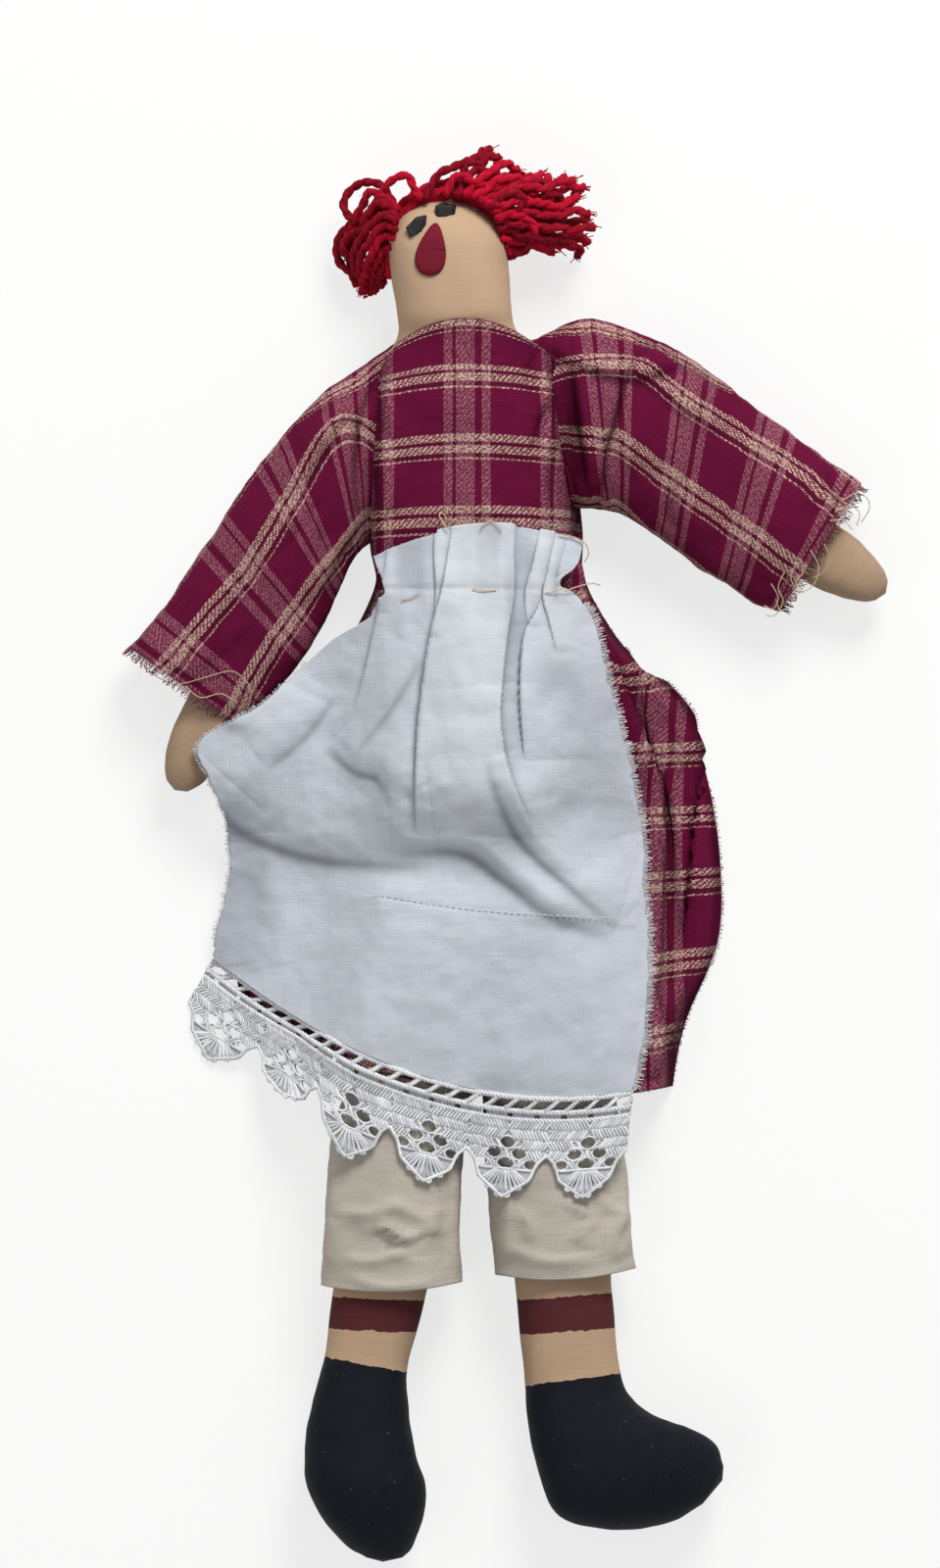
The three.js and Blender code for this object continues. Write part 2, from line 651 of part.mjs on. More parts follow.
/** A closed cloth of even thickness over a draped plan, which is its underside. */
function clothOver(plan, thickness) {
  const rows = plan.length;
  const columns = plan[0].length;
  const under = plan.flat().map((point) => point.clone());
  const triangles = [];
  const at = (i, j) => i * columns + j;
  for (let i = 0; i + 1 < rows; i += 1) {
    for (let j = 0; j + 1 < columns; j += 1) {
      triangles.push([at(i, j), at(i + 1, j), at(i + 1, j + 1)], [at(i, j), at(i + 1, j + 1), at(i, j + 1)]);
    }
  }
  const sheet = new THREE.BufferGeometry().setFromPoints(under);
  sheet.setIndex(triangles.flat());
  sheet.computeVertexNormals();
  const { normal } = sheet.attributes;
  const over = under.map((point, k) => (
    new THREE.Vector3(normal.getX(k), normal.getY(k), normal.getZ(k)).multiplyScalar(thickness).add(point)
  ));
  const count = under.length;
  const rim = [];
  for (let j = 0; j < columns; j += 1) rim.push(at(0, j));
  for (let i = 1; i < rows; i += 1) rim.push(at(i, columns - 1));
  for (let j = columns - 2; j >= 0; j -= 1) rim.push(at(rows - 1, j));
  for (let i = rows - 2; i > 0; i -= 1) rim.push(at(i, 0));
  const walls = rim.flatMap((point, k) => {
    const next = rim[(k + 1) % rim.length];
    return [[next, point, point + count], [next, point + count, next + count]];
  });
  const top = triangles.map((triangle) => triangle.map((point) => point + count));
  const bottom = triangles.map(([a, b, c]) => [a, c, b]);
  return closedGeometry([...under, ...over], [...top, ...bottom, ...walls]);
}

/** A prism over the outline of a panel, grown sideways by a margin. */
function outlinePrism(plan, margin, low, high) {
  const last = plan[0].length - 1;
  const rim = [
    ...plan[0],
    ...plan.slice(1, -1).map((row) => row[last]),
    ...[...plan[plan.length - 1]].reverse(),
    ...plan.slice(1, -1).reverse().map((row) => row[0]),
  ];
  const outline = rim.map((point, k) => {
    const before = rim[(k + rim.length - 1) % rim.length];
    const after = rim[(k + 1) % rim.length];
    const out = new THREE.Vector2(before.y - after.y, after.x - before.x).normalize();
    return new THREE.Vector2(point.x + out.x * margin, point.y + out.y * margin);
  });
  const shape = new THREE.Shape(outline);
  const prism = new THREE.ExtrudeGeometry(shape, { depth: high - low, bevelEnabled: false });
  prism.translate(0, 0, low);
  return solidOf(prism);
}

/** A prism over the outline of a panel that lies flat. */
function flatPanel(plan, thickness) {
  return outlinePrism(plan, 0, 0, thickness);
}

/** A tube of cloth round a limb, open at both ends. */
function clothTube(shares, anchor, width, thickness, level, limb) {
  const rungs = shares.map(([leftX, leftY, rightX, rightY, share = 1]) => ({
    left: new THREE.Vector2(anchor.x + leftX * width, anchor.y - leftY * width),
    right: new THREE.Vector2(anchor.x + rightX * width, anchor.y - rightY * width),
    thickness: share * thickness,
    middle: Math.max(hipLevel, level + (share * thickness) / 2),
  }));
  const outer = stuffedForm(rungs, bodySides, sectionPower);
  const rings = rungs.map((rung) => section(rung, bodySides, sectionPower));
  const inside = rings.map((ring) => shrunk(ring, clothThickness));
  const first = pushed(inside[0], inside[1], overrun);
  const last = pushed(inside[inside.length - 1], inside[inside.length - 2], overrun);
  const bore = [first, ...inside, last];
  const inner = loft(bore, ringCentre(first), ringCentre(last));
  return solidOf(outer).subtract(solidOf(inner)).subtract(limb);
}

/** A ring of points drawn in by a thickness, square to its own outline. */
function shrunk(ring, thickness) {
  const centre = ringCentre(ring);
  const span = Math.max(...ring.map((point) => Math.hypot(point.x - centre.x, point.y - centre.y)));
  const rise = Math.max(...ring.map((point) => Math.abs(point.z - centre.z)));
  return ring.map((point) => new THREE.Vector3(
    centre.x + (point.x - centre.x) * (1 - thickness / span),
    centre.y + (point.y - centre.y) * (1 - thickness / span),
    centre.z + (point.z - centre.z) * (1 - thickness / rise),
  ));
}

/** A ring moved on past its neighbour by a distance. */
function pushed(ring, neighbour, distance) {
  const step = ringCentre(ring).sub(ringCentre(neighbour)).normalize().multiplyScalar(distance);
  return ring.map((point) => point.clone().add(step));
}

// Hair

function hairPoint([x, y, z]) {
  const middle = alongBody(0, torsoLength + headLength - headDome);
  const [across, up, rise] = [x, y, z].map((share) => share * hairSpreadWidth);
  return new THREE.Vector3(middle.x + across, middle.y + up, hairHeight + rise);
}

/** One lock of yarn: a tube through points given as shares of the spread of the hair. */
function lock(shares, thickness) {
  const outline = new THREE.Shape();
  outline.absarc(0, 0, thickness / 2, 0, 2 * Math.PI, false);
  const path = new THREE.CatmullRomCurve3(shares.map(hairPoint));
  return solidOf(new THREE.ExtrudeGeometry(outline, {
    steps: lockSteps,
    extrudePath: path,
    curveSegments: roundArcSteps,
  }));
}

/** The knot of a bunch, where its yarn is sewn to the head. */
function knot(share, size) {
  const ball = new THREE.SphereGeometry(size / 2, ...knotSides);
  const place = hairPoint(share);
  ball.translate(place.x, place.y, place.z);
  return solidOf(ball);
}

function joined(solids) {
  return solids.reduce((sum, next) => sum.add(next));
}

/** The largest separate body of a solid, where a cut leaves slivers. */
function largestPart(solid) {
  return solid.decompose().reduce((best, next) => (next.volume() > best.volume() ? next : best));
}

// Face

function eye(x, y, map, head) {
  const bead = new THREE.SphereGeometry(eyeLength / 2, ...beadSides);
  bead.rotateX(Math.PI / 2);
  bead.scale(1, eyeWidth / eyeLength, eyeHeight / eyeLength);
  bead.rotateZ(eyeTilt);
  bead.translate(x, y, map.highest(x, y, 0, 0) + eyeSeatShare * eyeHeight);
  return solidOf(bead).subtract(head);
}

function nosePatch(x, y, body) {
  const outline = new THREE.Shape();
  outline.absellipse(0, 0, noseWidth / 2, noseLength / 2, 0, 2 * Math.PI, false, noseTilt);
  const prism = new THREE.ExtrudeGeometry(outline, {
    depth: headThickness,
    bevelEnabled: false,
    curveSegments: noseArcSteps,
  });
  prism.translate(x, y, bodyLevel + headThickness / 2);
  const over = solidOf(moved(body, seatGap + noseThickness));
  return solidOf(prism).intersect(over).subtract(solidOf(moved(body, seatGap)));
}

/** Points of the gathering thread, which lies over the apron at the waist. */
function threadLine(anchorX, anchorY, width, length, map) {
  const points = [];
  const [first, last] = threadEndShares;
  for (let k = 0; k <= threadPoints; k += 1) {
    const x = anchorX + THREE.MathUtils.lerp(first, last, k / threadPoints) * width;
    const y = anchorY - waistShare * length;
    const reach = ((last - first) * width) / threadPoints;
    points.push(new THREE.Vector3(x, y, map.highest(x, y, reach, threadWidth) + seatGap + threadWidth / 2));
  }
  return points;
}

// Lace

/** Plan of the lace: from the bottom edge of the apron outwards, in scallops. */
function lacePlan(apron, rowCount) {
  const edge = apron[apron.length - 1];
  const points = edge.map((point) => new THREE.Vector2(point.x, point.y));
  const curve = new THREE.SplineCurve(points);
  const columnCount = laceScallops * laceColumns;
  const plan = [];
  for (let i = 0; i <= rowCount; i += 1) {
    const row = [];
    for (let j = 0; j <= columnCount; j += 1) {
      const along = j / columnCount;
      const start = curve.getPointAt(along);
      const swing = THREE.MathUtils.lerp(laceSwing[0], laceSwing[1], Math.min(1, along / laceSwingShare));
      const scallop = Math.abs(Math.sin(Math.PI * laceScallops * along)) ** scallopRoundShare;
      const fullDepth = laceDepth * alongRows(scallopDepthShares, 0, along);
      const depth = fullDepth * THREE.MathUtils.lerp(scallopValleyShare, 1, scallop);
      const reach = seatGap + (depth * i) / rowCount;
      row.push(new THREE.Vector3(start.x + Math.sin(swing) * reach, start.y - Math.cos(swing) * reach, 0));
    }
    plan.push(row);
  }
  return plan;
}

/** A point of a draped plan at shares down and along it. */
function onPlan(plan, down, along) {
  const i = Math.min(Math.floor(down * (plan.length - 1)), plan.length - 2);
  const j = Math.min(Math.floor(along * (plan[0].length - 1)), plan[0].length - 2);
  const [u, v] = [down * (plan.length - 1) - i, along * (plan[0].length - 1) - j];
  const near = plan[i][j].clone().lerp(plan[i][j + 1], v);
  return near.lerp(plan[i + 1][j].clone().lerp(plan[i + 1][j + 1], v), u);
}

/** Holes of the lace: a diamond of five in each fan, and a ladder of small ones under the apron. */
function laceHoles(plan) {
  const depth = laceThickness * 8;
  const hole = (down, along, size) => {
    const place = onPlan(plan, down, along);
    const pin = new THREE.CylinderGeometry(size / 2, size / 2, depth, holeSides);
    pin.rotateX(Math.PI / 2);
    pin.translate(place.x, place.y, place.z);
    return pin;
  };
  const holes = [];
  for (let fan = 0; fan < laceScallops; fan += 1) {
    diamondShares.forEach(([down, across]) => {
      holes.push(hole(down, (fan + 0.5 + across) / laceScallops, laceHoleWidth));
    });
    for (let step = 0; step < ladderSteps; step += 1) {
      holes.push(hole(ladderShare, (fan + (step + 0.5) / ladderSteps) / laceScallops, ladderHoleWidth));
    }
  }
  return solidOf(mergeGeometries(holes));
}

// Assembly

const doll = new THREE.Group();
doll.name = 'rag_doll';

const clothRoughness = 0.95;
const beadRoughness = 0.2;

function addPiece(name, geometry, colour, roughness = clothRoughness) {
  const material = new THREE.MeshStandardMaterial({ color: colour, roughness, metalness: 0 });
  const piece = new THREE.Mesh(geometry, material);
  piece.name = name;
  doll.add(piece);
}

const body = bodyForm();
const arms = {
  left: armForm(leftShoulder, leftArmAngle),
  right: armForm(rightShoulder, rightArmAngle),
};
const legs = {
  left: legForm(leftHip, leftLegShares, leftToeShare),
  right: legForm(rightHip, rightLegShares, rightToeShare),
};

/** The room that an arm turns in beside the torso: round about the shoulder, straight along the arm. */
function armRoom(shoulder, angle, turns) {
  const width = armWidth + 2 * roomMargin;
  const height = bodyLevel + armThickness + roomMargin;
  const round = new THREE.CylinderGeometry(width / 2, width / 2, height, roomSides);
  round.rotateX(Math.PI / 2);
  round.translate(shoulder.x, shoulder.y, height / 2);
  return turns.reduce((room, turn) => {
    const way = angle + THREE.MathUtils.degToRad(turn);
    const [x, y] = [Math.sin(way) * armLength, -Math.cos(way) * armLength].map((side) => side / 2);
    return room.add(block(width, armLength, height, shoulder.x + x, shoulder.y + y, height / 2, way));
  }, solidOf(round));
}

const rooms = [
  armRoom(leftShoulder, leftArmAngle, [0, -leftArmSwing[0]]),
  armRoom(rightShoulder, rightArmAngle, [0, rightArmSwing[0] / 2, rightArmSwing[0]]),
];
const bodySlit = block(slitShare * hipWidth, overrun * 2, seamThickness / 3, hipX, hipY, hipLevel, bodyLean);
const [bodySkin, bodyStuffing] = skinAndStuffing(body, bodySlit, rooms);
addPiece('body_skin', bodySkin, colours.muslin);
addPiece('body_stuffing', bodyStuffing, colours.fill);

for (const side of ['left', 'right']) {
  const shoulder = side === 'left' ? leftShoulder : rightShoulder;
  const angle = side === 'left' ? leftArmAngle : rightArmAngle;
  const armMiddle = bodyLevel + armThickness / 2;
  const slitX = shoulder.x - (Math.sin(angle) * armWidth) / 2;
  const slitY = shoulder.y + (Math.cos(angle) * armWidth) / 2;
  const armSlit = block(
    slitShare * armWidth, armWidth / 2, skinThickness * 4, slitX, slitY, armMiddle, angle,
  );
  const [armSkin, armStuffing] = skinAndStuffing(arms[side], armSlit);
  addPiece(`arm_skin_${side}`, armSkin, colours.muslin);
  addPiece(`arm_stuffing_${side}`, armStuffing, colours.fill);

  const hip = side === 'left' ? leftHip : rightHip;
  const legSlit = block(
    slitShare * legWidth, legWidth / 2, skinThickness * 2, hip.x, hip.y + legWidth / 2, hipLevel,
  );
  const [legSkin, legStuffing] = skinAndStuffing(legs[side], legSlit);
  addPiece(`leg_skin_${side}`, legSkin, colours.muslin);
  addPiece(`leg_stuffing_${side}`, legStuffing, colours.fill);
}

// Flat strip between torso and legs, rounded at the fold line
const stripWidth = hipWidth * torsoShares[0][1];
const legTop = leftHip.y + (legWidth / 2) * Math.cos((roundEndShares[0] * Math.PI) / 2);
const stripFall = (Math.sin(bodyLean) * stripWidth) / 2;
const stripLength = hipY - legTop - hipStripThickness / 2 - 2 * seatGap - stripFall;
const stripOutline = new THREE.Shape();
stripOutline.absarc(0, 0, hipStripThickness / 2, 0, Math.PI, false);
stripOutline.lineTo(-hipStripThickness / 2, -stripLength);
stripOutline.lineTo(hipStripThickness / 2, -stripLength);
const strip = new THREE.ExtrudeGeometry(stripOutline, {
  depth: stripWidth,
  bevelEnabled: false,
  curveSegments: stripArcSteps,
});
strip.translate(0, -hipStripThickness / 2 - seatGap, -stripWidth / 2);
strip.rotateY(Math.PI / 2);
strip.rotateZ(bodyLean);
strip.translate(hipX, hipY, hipLevel);
addPiece('hip_strip', indexed(strip), colours.muslin);

// Face and hair
const grownBody = solidOf(moved(body, seatGap));
const bodyMap = new HeightMap(mapCell).add(body);
const brow = alongBody(0, torsoLength + headLength - headDome);
const onFace = ([x, y]) => [brow.x + (x * headWidth) / 2, brow.y + (y * headWidth) / 2];
for (const side of ['left', 'right']) {
  const bead = eye(...onFace(eyePlaceShares[side]), bodyMap, grownBody);
  addPiece(`eye_${side}`, geometryOf(bead), colours.bead, beadRoughness);
}
addPiece('nose_patch', geometryOf(nosePatch(...onFace(nosePlaceShare), body)), colours.noseRed);
const bunch = (core, locks, thickness) => (
  joined([knot(core, hairKnotWidth), ...locks.map((shares) => lock(shares, thickness))])
);
const hair = (thickness) => ({
  left: bunch(leftCoreShare, leftLockShares, thickness),
  right: bunch(rightCoreShare, rightLockShares, thickness),
});
const { left: leftHair, right: rightHair } = hair(yarnLockWidth);
addPiece('hair_left', geometryOf(largestPart(leftHair.subtract(grownBody))), colours.yarn);
addPiece('hair_right', geometryOf(largestPart(rightHair.subtract(grownBody))), colours.yarn);
const { left: nearLeft, right: nearRight } = hair(yarnLockWidth + 2 * seatGap);
const topHair = joined(topLockShares.map((shares) => lock(shares, yarnStrandWidth)));
const freeTopHair = topHair.subtract(joined([grownBody, nearLeft, nearRight]));
addPiece('hair_top', geometryOf(largestPart(freeTopHair)), colours.yarn);

// Bloomers
const seatMiddle = hipY + bloomerSeatLength / 2 + seamThickness;
const torsoBand = block(
  hipWidth * 2, bloomerSeatLength, torsoThickness * 3, hipX, seatMiddle, hipLevel,
);
const seat = solidOf(moved(body, seatGap + clothThickness)).subtract(grownBody).intersect(torsoBand);
addPiece('bloomer_seat', geometryOf(seat), colours.bloomer);
const bloomers = ['left', 'right'].map((side) => {
  const hip = side === 'left' ? leftHip : rightHip;
  const shares = side === 'left' ? leftBloomerShares : rightBloomerShares;
  const leg = solidOf(moved(legs[side], seatGap));
  const tube = geometryOf(clothTube(shares, hip, legLength, bloomerThickness, backLevel, leg));
  addPiece(`bloomer_leg_${side}`, tube, colours.bloomer);
  return tube;
});

// Dress: a flat back panel, a front panel over the body, and sleeves that meet the panels
const dressPlan = () => panelPlan(dressShares, dressX, dressY, skirtWidth, dressLength, ...dressGrid);
const dressBack = geometryOf(flatPanel(dressPlan(), clothThickness));
addPiece('dress_back', dressBack, colours.plaid);
const lying = new HeightMap(mapCell).add(dressBack).add(geometryOf(seat)).add(body);
[...Object.values(arms), ...Object.values(legs), ...bloomers].forEach((geometry) => lying.add(geometry));
const dressSheet = raiseFolds(
  drape(dressPlan(), lying, true), dressFoldShares, dressX, dressY, skirtWidth, dressLength,
);
const dressFront = clothOver(dressSheet, clothThickness);
addPiece('dress_front', dressFront, colours.plaid);

const dressColumn = outlinePrism(dressSheet, seatGap + clothThickness, -overrun, torsoThickness * 2);
const sleeves = ['left', 'right'].map((side) => {
  const shares = side === 'left' ? leftSleeveShares : rightSleeveShares;
  const shoulder = side === 'left' ? leftShoulder : rightShoulder;
  const arm = solidOf(moved(arms[side], seatGap));
  const tube = clothTube(shares, shoulder, sleeveLength, sleeveThickness, backLevel, arm);
  const sleeve = geometryOf(largestPart(tube.subtract(dressColumn)));
  addPiece(`sleeve_${side}`, sleeve, colours.plaid);
  return sleeve;
});

// Apron, the thread that gathers it and its lace
lying.add(dressFront);
sleeves.forEach((sleeve) => lying.add(sleeve));
const apronPlan = panelPlan(apronShares, apronX, apronY, apronWidth, apronLength, ...apronGrid);
const apronSheet = raiseFolds(
  drape(apronPlan, lying, false), apronFoldShares, apronX, apronY, apronWidth, apronLength,
);
const apron = clothOver(apronSheet, clothThickness);
addPiece('apron', apron, colours.linen);
lying.add(apron);

const threadPath = new THREE.CatmullRomCurve3(threadLine(apronX, apronY, apronWidth, apronLength, lying));
const threadOutline = new THREE.Shape();
threadOutline.absarc(0, 0, threadWidth / 2, 0, 2 * Math.PI, false);
const thread = new THREE.ExtrudeGeometry(threadOutline, {
  steps: 2 * threadPoints,
  extrudePath: threadPath,
  curveSegments: roundArcSteps,
});
addPiece('gather_thread', indexed(thread), colours.lace);

const lace = drape(lacePlan(apronSheet, laceRows), lying, false);
const laceSolid = largestPart(solidOf(clothOver(lace, laceThickness)).subtract(laceHoles(lace)));
addPiece('apron_lace', geometryOf(laceSolid), colours.lace);

export default doll;
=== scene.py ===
"""Rag doll lying on its back: the looks of each piece, laid out as an add-on and run as a script.

Lengths in the tables are millimetres in the frame of the part; left and right are as seen from above.
"""

import math

import bpy
import numpy as np
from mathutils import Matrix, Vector, noise
from mathutils.bvhtree import BVHTree


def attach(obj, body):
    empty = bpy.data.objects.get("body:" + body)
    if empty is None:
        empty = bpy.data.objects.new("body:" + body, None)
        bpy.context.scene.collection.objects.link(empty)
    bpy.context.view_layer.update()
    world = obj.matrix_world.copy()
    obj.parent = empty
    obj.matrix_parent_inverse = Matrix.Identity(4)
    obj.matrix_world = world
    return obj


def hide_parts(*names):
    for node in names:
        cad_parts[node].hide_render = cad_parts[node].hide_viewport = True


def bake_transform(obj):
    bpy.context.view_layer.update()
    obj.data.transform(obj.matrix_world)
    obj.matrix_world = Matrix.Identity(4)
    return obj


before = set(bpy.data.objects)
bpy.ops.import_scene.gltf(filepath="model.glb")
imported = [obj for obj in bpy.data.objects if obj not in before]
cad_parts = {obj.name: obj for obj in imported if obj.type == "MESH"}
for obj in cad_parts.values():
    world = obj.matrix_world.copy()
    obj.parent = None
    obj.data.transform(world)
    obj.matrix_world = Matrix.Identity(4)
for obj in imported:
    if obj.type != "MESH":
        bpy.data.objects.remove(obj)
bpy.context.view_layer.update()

bl_info = {
    "name": "Rag doll",
    "version": (1, 0, 0),
    "blender": (4, 5, 0),
    "location": "View3D > Sidebar > Rag doll",
    "description": "Builds a stuffed rag doll with yarn hair, a plaid dress and a lace-edged apron",
    "category": "Object",
}

MM = 0.001
SIDES = ("left", "right")


def shares_of(text):
    """A table of shares, written in thousandths, with commas between its rows."""
    return np.array([row.split() for row in text.split(",")], int) / 1000


def table_of(text):
    """Rows of numbers, a colon and a line. A line is its first point and then the steps from point to point, each
    across and up the plane, in tenths of a millimetre."""
    rows = []
    for row in text.strip().splitlines():
        numbers, _, line = row.rpartition(":")
        steps = np.array(line.split(), int).reshape(-1, 2)
        rows.append(([float(number) for number in numbers.split()], np.cumsum(steps, axis=0) / 10))
    return rows


def lines_of(text):
    return [line for _, line in table_of(text)]


# Form of the body: lengths and tables of shares, as in the source of the part
SEAT_GAP = 0.3
CLOTH_THICKNESS = 0.9
BACK_LEVEL = CLOTH_THICKNESS + SEAT_GAP
BODY_LEVEL = BACK_LEVEL + CLOTH_THICKNESS + SEAT_GAP
BOOT_LEVEL = SEAT_GAP
HIP_LEVEL = 14
HIP = (-9, 3.5)
BODY_LEAN = math.radians(2.7)
TORSO_LENGTH = 169
HIP_WIDTH = 62
TORSO_THICKNESS = 36
HEAD_LENGTH = 41
HEAD_WIDTH = 39
HEAD_THICKNESS = 34
HEAD_DOME = 16
HEAD_LEAN = 3.2
NECK_SHARE = 0.96
ARM_LENGTH = 134
ARM_WIDTH = 25
ARM_THICKNESS = 20
SHOULDERS = {"left": (-46, 138.5), "right": (8.6, 155)}
ARM_ANGLES = {"left": math.radians(-28.2), "right": math.radians(58.3)}
LEG_LENGTH = 218
LEG_WIDTH = 28
LEG_THICKNESS = 26
BOOT_THICKNESS = 34
BOOT_SHARE = 1.26
ANKLE_SHARES = (0.63, 0.77)
LEG_SWINGS = (-1, 2, 4, 6)
ARM_SWINGS = (2.5, 5)
HIPS = {"left": (-23.7, -15.4), "right": (8.3, -15.4)}
SLEEVE_LENGTH = 105.6
SLEEVE_THICKNESS = 27
BLOOMER_THICKNESS = 31
DRESS = (-14.4, 169.6)
DRESS_WIDTH = 154
DRESS_LENGTH = 246.4
APRON = (-11.5, 105.54)
APRON_WIDTH = 141.06
APRON_LENGTH = 183.08
LACE_DEPTH = 33
LACE_LENGTH = 150
LACE_SCALLOPS = 6
LACE_SWING = np.radians([-30, -6])
SCALLOP_DEPTH_SHARES = [0.84, 0.74, 1.04, 1, 1, 1]

TORSO_SHARES = shares_of("""
0 900 110, 20 950 360, 70 1000 760, 160 1000 970, 350 960 1000, 600 900 980, 800 870 950, 890 820 900, 945 730 870,
 985 620 860
""")
HEAD_SHARES = shares_of("""
100 960 930, 350 980 980, 600 1000 1000
""")
ARM_SHARES = shares_of("""
0 1000 1000, 250 1020 1000, 500 950 960, 700 860 860, 840 830 780, 910 700 700, 960 520 560, 988 300 340
""")
LEG_SHARES = {
    "left": shares_of("""
-75 60 60 60 800, -101 200 46 200 1000, -128 360 22 360 1000, -145 500 -1 500 1000, -159 605 -21 613 980,
 -170 688 -43 698 960, -188 756 -43 756 1080, -198 829 -32 829 1200, -195 875 -18 872 1260, -170 927 -20 922 1160,
 -135 966 -35 966 800, -107 984 -51 984 440
"""),
    "right": shares_of("""
-65 60 70 60 800, -60 200 90 200 1000, -50 360 103 360 1000, -37 500 110 500 1000, -28 600 116 600 980,
 -16 715 128 712 960, -12 768 145 747 1050, 0 838 172 768 1200, 28 915 200 780 1260, 87 938 229 790 1220,
 153 940 256 802 1100, 211 927 273 820 860, 250 903 282 847 500
"""),
}
TOE_SHARES = {"left": (-0.081, 0.99), "right": (0.28, 0.868)}
BLOOMER_SHARES = {
    "left": shares_of("""
-73 0 70 0 550, -91 100 70 100 860, -129 240 58 240 1000, -159 380 40 380 1000, -169 490 33 490 1000,
 -173 576 39 570 1000
"""),
    "right": shares_of("""
-70 0 73 0 550, -73 100 94 100 860, -78 240 112 240 1000, -76 380 134 380 1000, -68 485 142 478 1000,
 -58 560 150 550 1000
"""),
}
DRESS_SHARES = shares_of("""
-148 16 148 16 34, -188 78 219 62 18, -200 169 231 156 12, -198 279 248 260 6, -190 338 256 338 0,
 -260 431 345 426 0, -354 548 460 496 0, -423 669 515 597 -5, -463 773 538 701 -15, -483 838 533 805 -25,
 -477 877 465 909 -40, -444 909 435 997 -50
""")
SLEEVE_SHARES = {
    "left": shares_of("""
60 -245 12 348, -107 -129 -24 379, -251 11 -73 464, -403 208 -132 582, -505 367 -205 709, -617 532 -290 821,
 -739 676 -394 924
"""),
    "right": shares_of("""
10 -120 140 395, 150 -172 216 400, 310 -132 295 433, 460 -55 392 501, 595 36 486 571, 730 139 600 641,
 866 242 682 690, 1000 333 755 715
"""),
}
APRON_SHARES = shares_of("""
-230 49 252 23 38, -218 105 236 105 6, -250 161 280 175 0, -339 205 302 259 0, -486 311 332 341 0,
 -632 379 359 428 0, -611 446 377 498 0, -577 507 389 568 0, -566 577 389 643 0, -577 656 400 717 -12,
 -595 710 400 804 -35, -600 740 389 905 -62, -602 766 366 1000 -91
""")


# Folds: half width, height, the side that falls steeply as seen along the line (1 left, -1 right, 0 none), the width
# of that side as a share of the half width, and the line
APRON_FOLDS = table_of("""
26 2.6 -1 0.03: -182 1072 -4 -67 -22 -160 -38 -147 -32 -212 -16 -188 -4 -234
22 2.4 1 0.035: 10 1072 -7 -96 -3 -131 -22 -135 -16 -160 -4 -144 36 -160 70 -169
5 1.5 -1 0.16: -237 1062 0 -102 3 -109 -22 -147
9 0.9 -1 0.08: -390 1040 -7 -112 -16 -102 -45 -208 -41 -157
4 1.6 -1 0.2: -438 960 19 -96 -10 -77
25 3 -1 0.03: 125 877 -32 -96 -32 -83 -13 -186 6 -208
5 2.2 -1 0.16: 102 1040 -16 -102 -25 -93 -3 -109
5 2.2 -1 0.16: 157 1040 -19 -96 -16 -99 19 -96 16 -96
4 1.4 -1 0.25: 195 1018 -29 -122 -6 -83
24 4.6 -1 0.34: -1056 378 99 -74 131 -150 205 -77 224 -23 147 10
21 4.8 -1 0.24: -384 54 160 10 122 -22 128 -93 140 -103 180 -64
18 2.4 0 1: -64 544 19 -256 -19 -224
12 3 -1 0.4: -26 320 90 -224 160 -160 160 -134
15 2.4 0 1: -704 544 -96 -176 -112 -128
9 2.2 -1 0.5: -557 384 77 -70 83 -32 61 -96
9 1.6 1 0.5: -608 544 -96 -128 -122 -96
9 1.8 0 1: 256 736 38 -320 90 -352
8 1.4 1 0.5: -320 672 -112 -192 -106 -128
10 1.8 0 1: -806 64 12 -192 45 -240
7 2 0 1: -922 32 0 -224 26 -176
22 2.4 0 1: -608 -112 320 -144 352 -38 352 -10
3 0.55 1 0.3: -595 -115 275 -55 320 -32 336 -16
8 0.8 0 0.7: -256 -752 26 144 70 96
6 1.2 0 1: -48 -768 22 128 -22 96
8 0.9 0 0.7: 112 -774 16 118 64 112
8 0.8 0 0.7: 288 -774 38 166 74 128
9 0.8 0 0.8: -544 -656 80 128 112 96
""")
DRESS_FOLDS = table_of("""
6 5 -1 0.12: 384 672 48 -80 112 -64 58 -112 25 -160 -13 -256 -38 -288
8 3.4 1 0.1: 294 736 90 -256 90 -256 12 -320 -12 -352
4 2.2 -1 0.3: 432 576 48 -224 64 -224 13 -320
6 3.4 1 0.2: 448 -416 38 -160 -12 -160
5 2.4 0 1: 646 224 0 -320 -70 -352
6 2.8 1 0.3: 544 -416 -26 -160 -44 -160
7 3.2 1 0.12: 147 1658 26 -154 13 -160 12 -224 -6 -256
5 1.6 1 0.3: 83 1680 32 -176 13 -160
6 2.8 -1 0.12: -400 1616 -29 -176 -16 -192 3 -224
8 1.2 0 1: -368 1568 -16 -192 16 -256
8 0.9 0 1: -320 1280 160 -96 224 38
10 1 0 1: -336 1472 112 32 224 -26 102 -54
5 1.7 1 0.4: 166 1542 -51 -51 -51 -89 -26 -116
4.5 1.9 1 0.35: 173 1440 -45 -90 -26 -134 13 -160
4 1.4 -1 0.4: 134 1658 -44 -64 -39 -84
4 1.4 -1 0.4: -435 1517 45 -77 12 -102
4.5 1.6 -1 0.35: -454 1344 44 -96 7 -144
6 1 0 1: -410 992 90 64 90 -13
""")
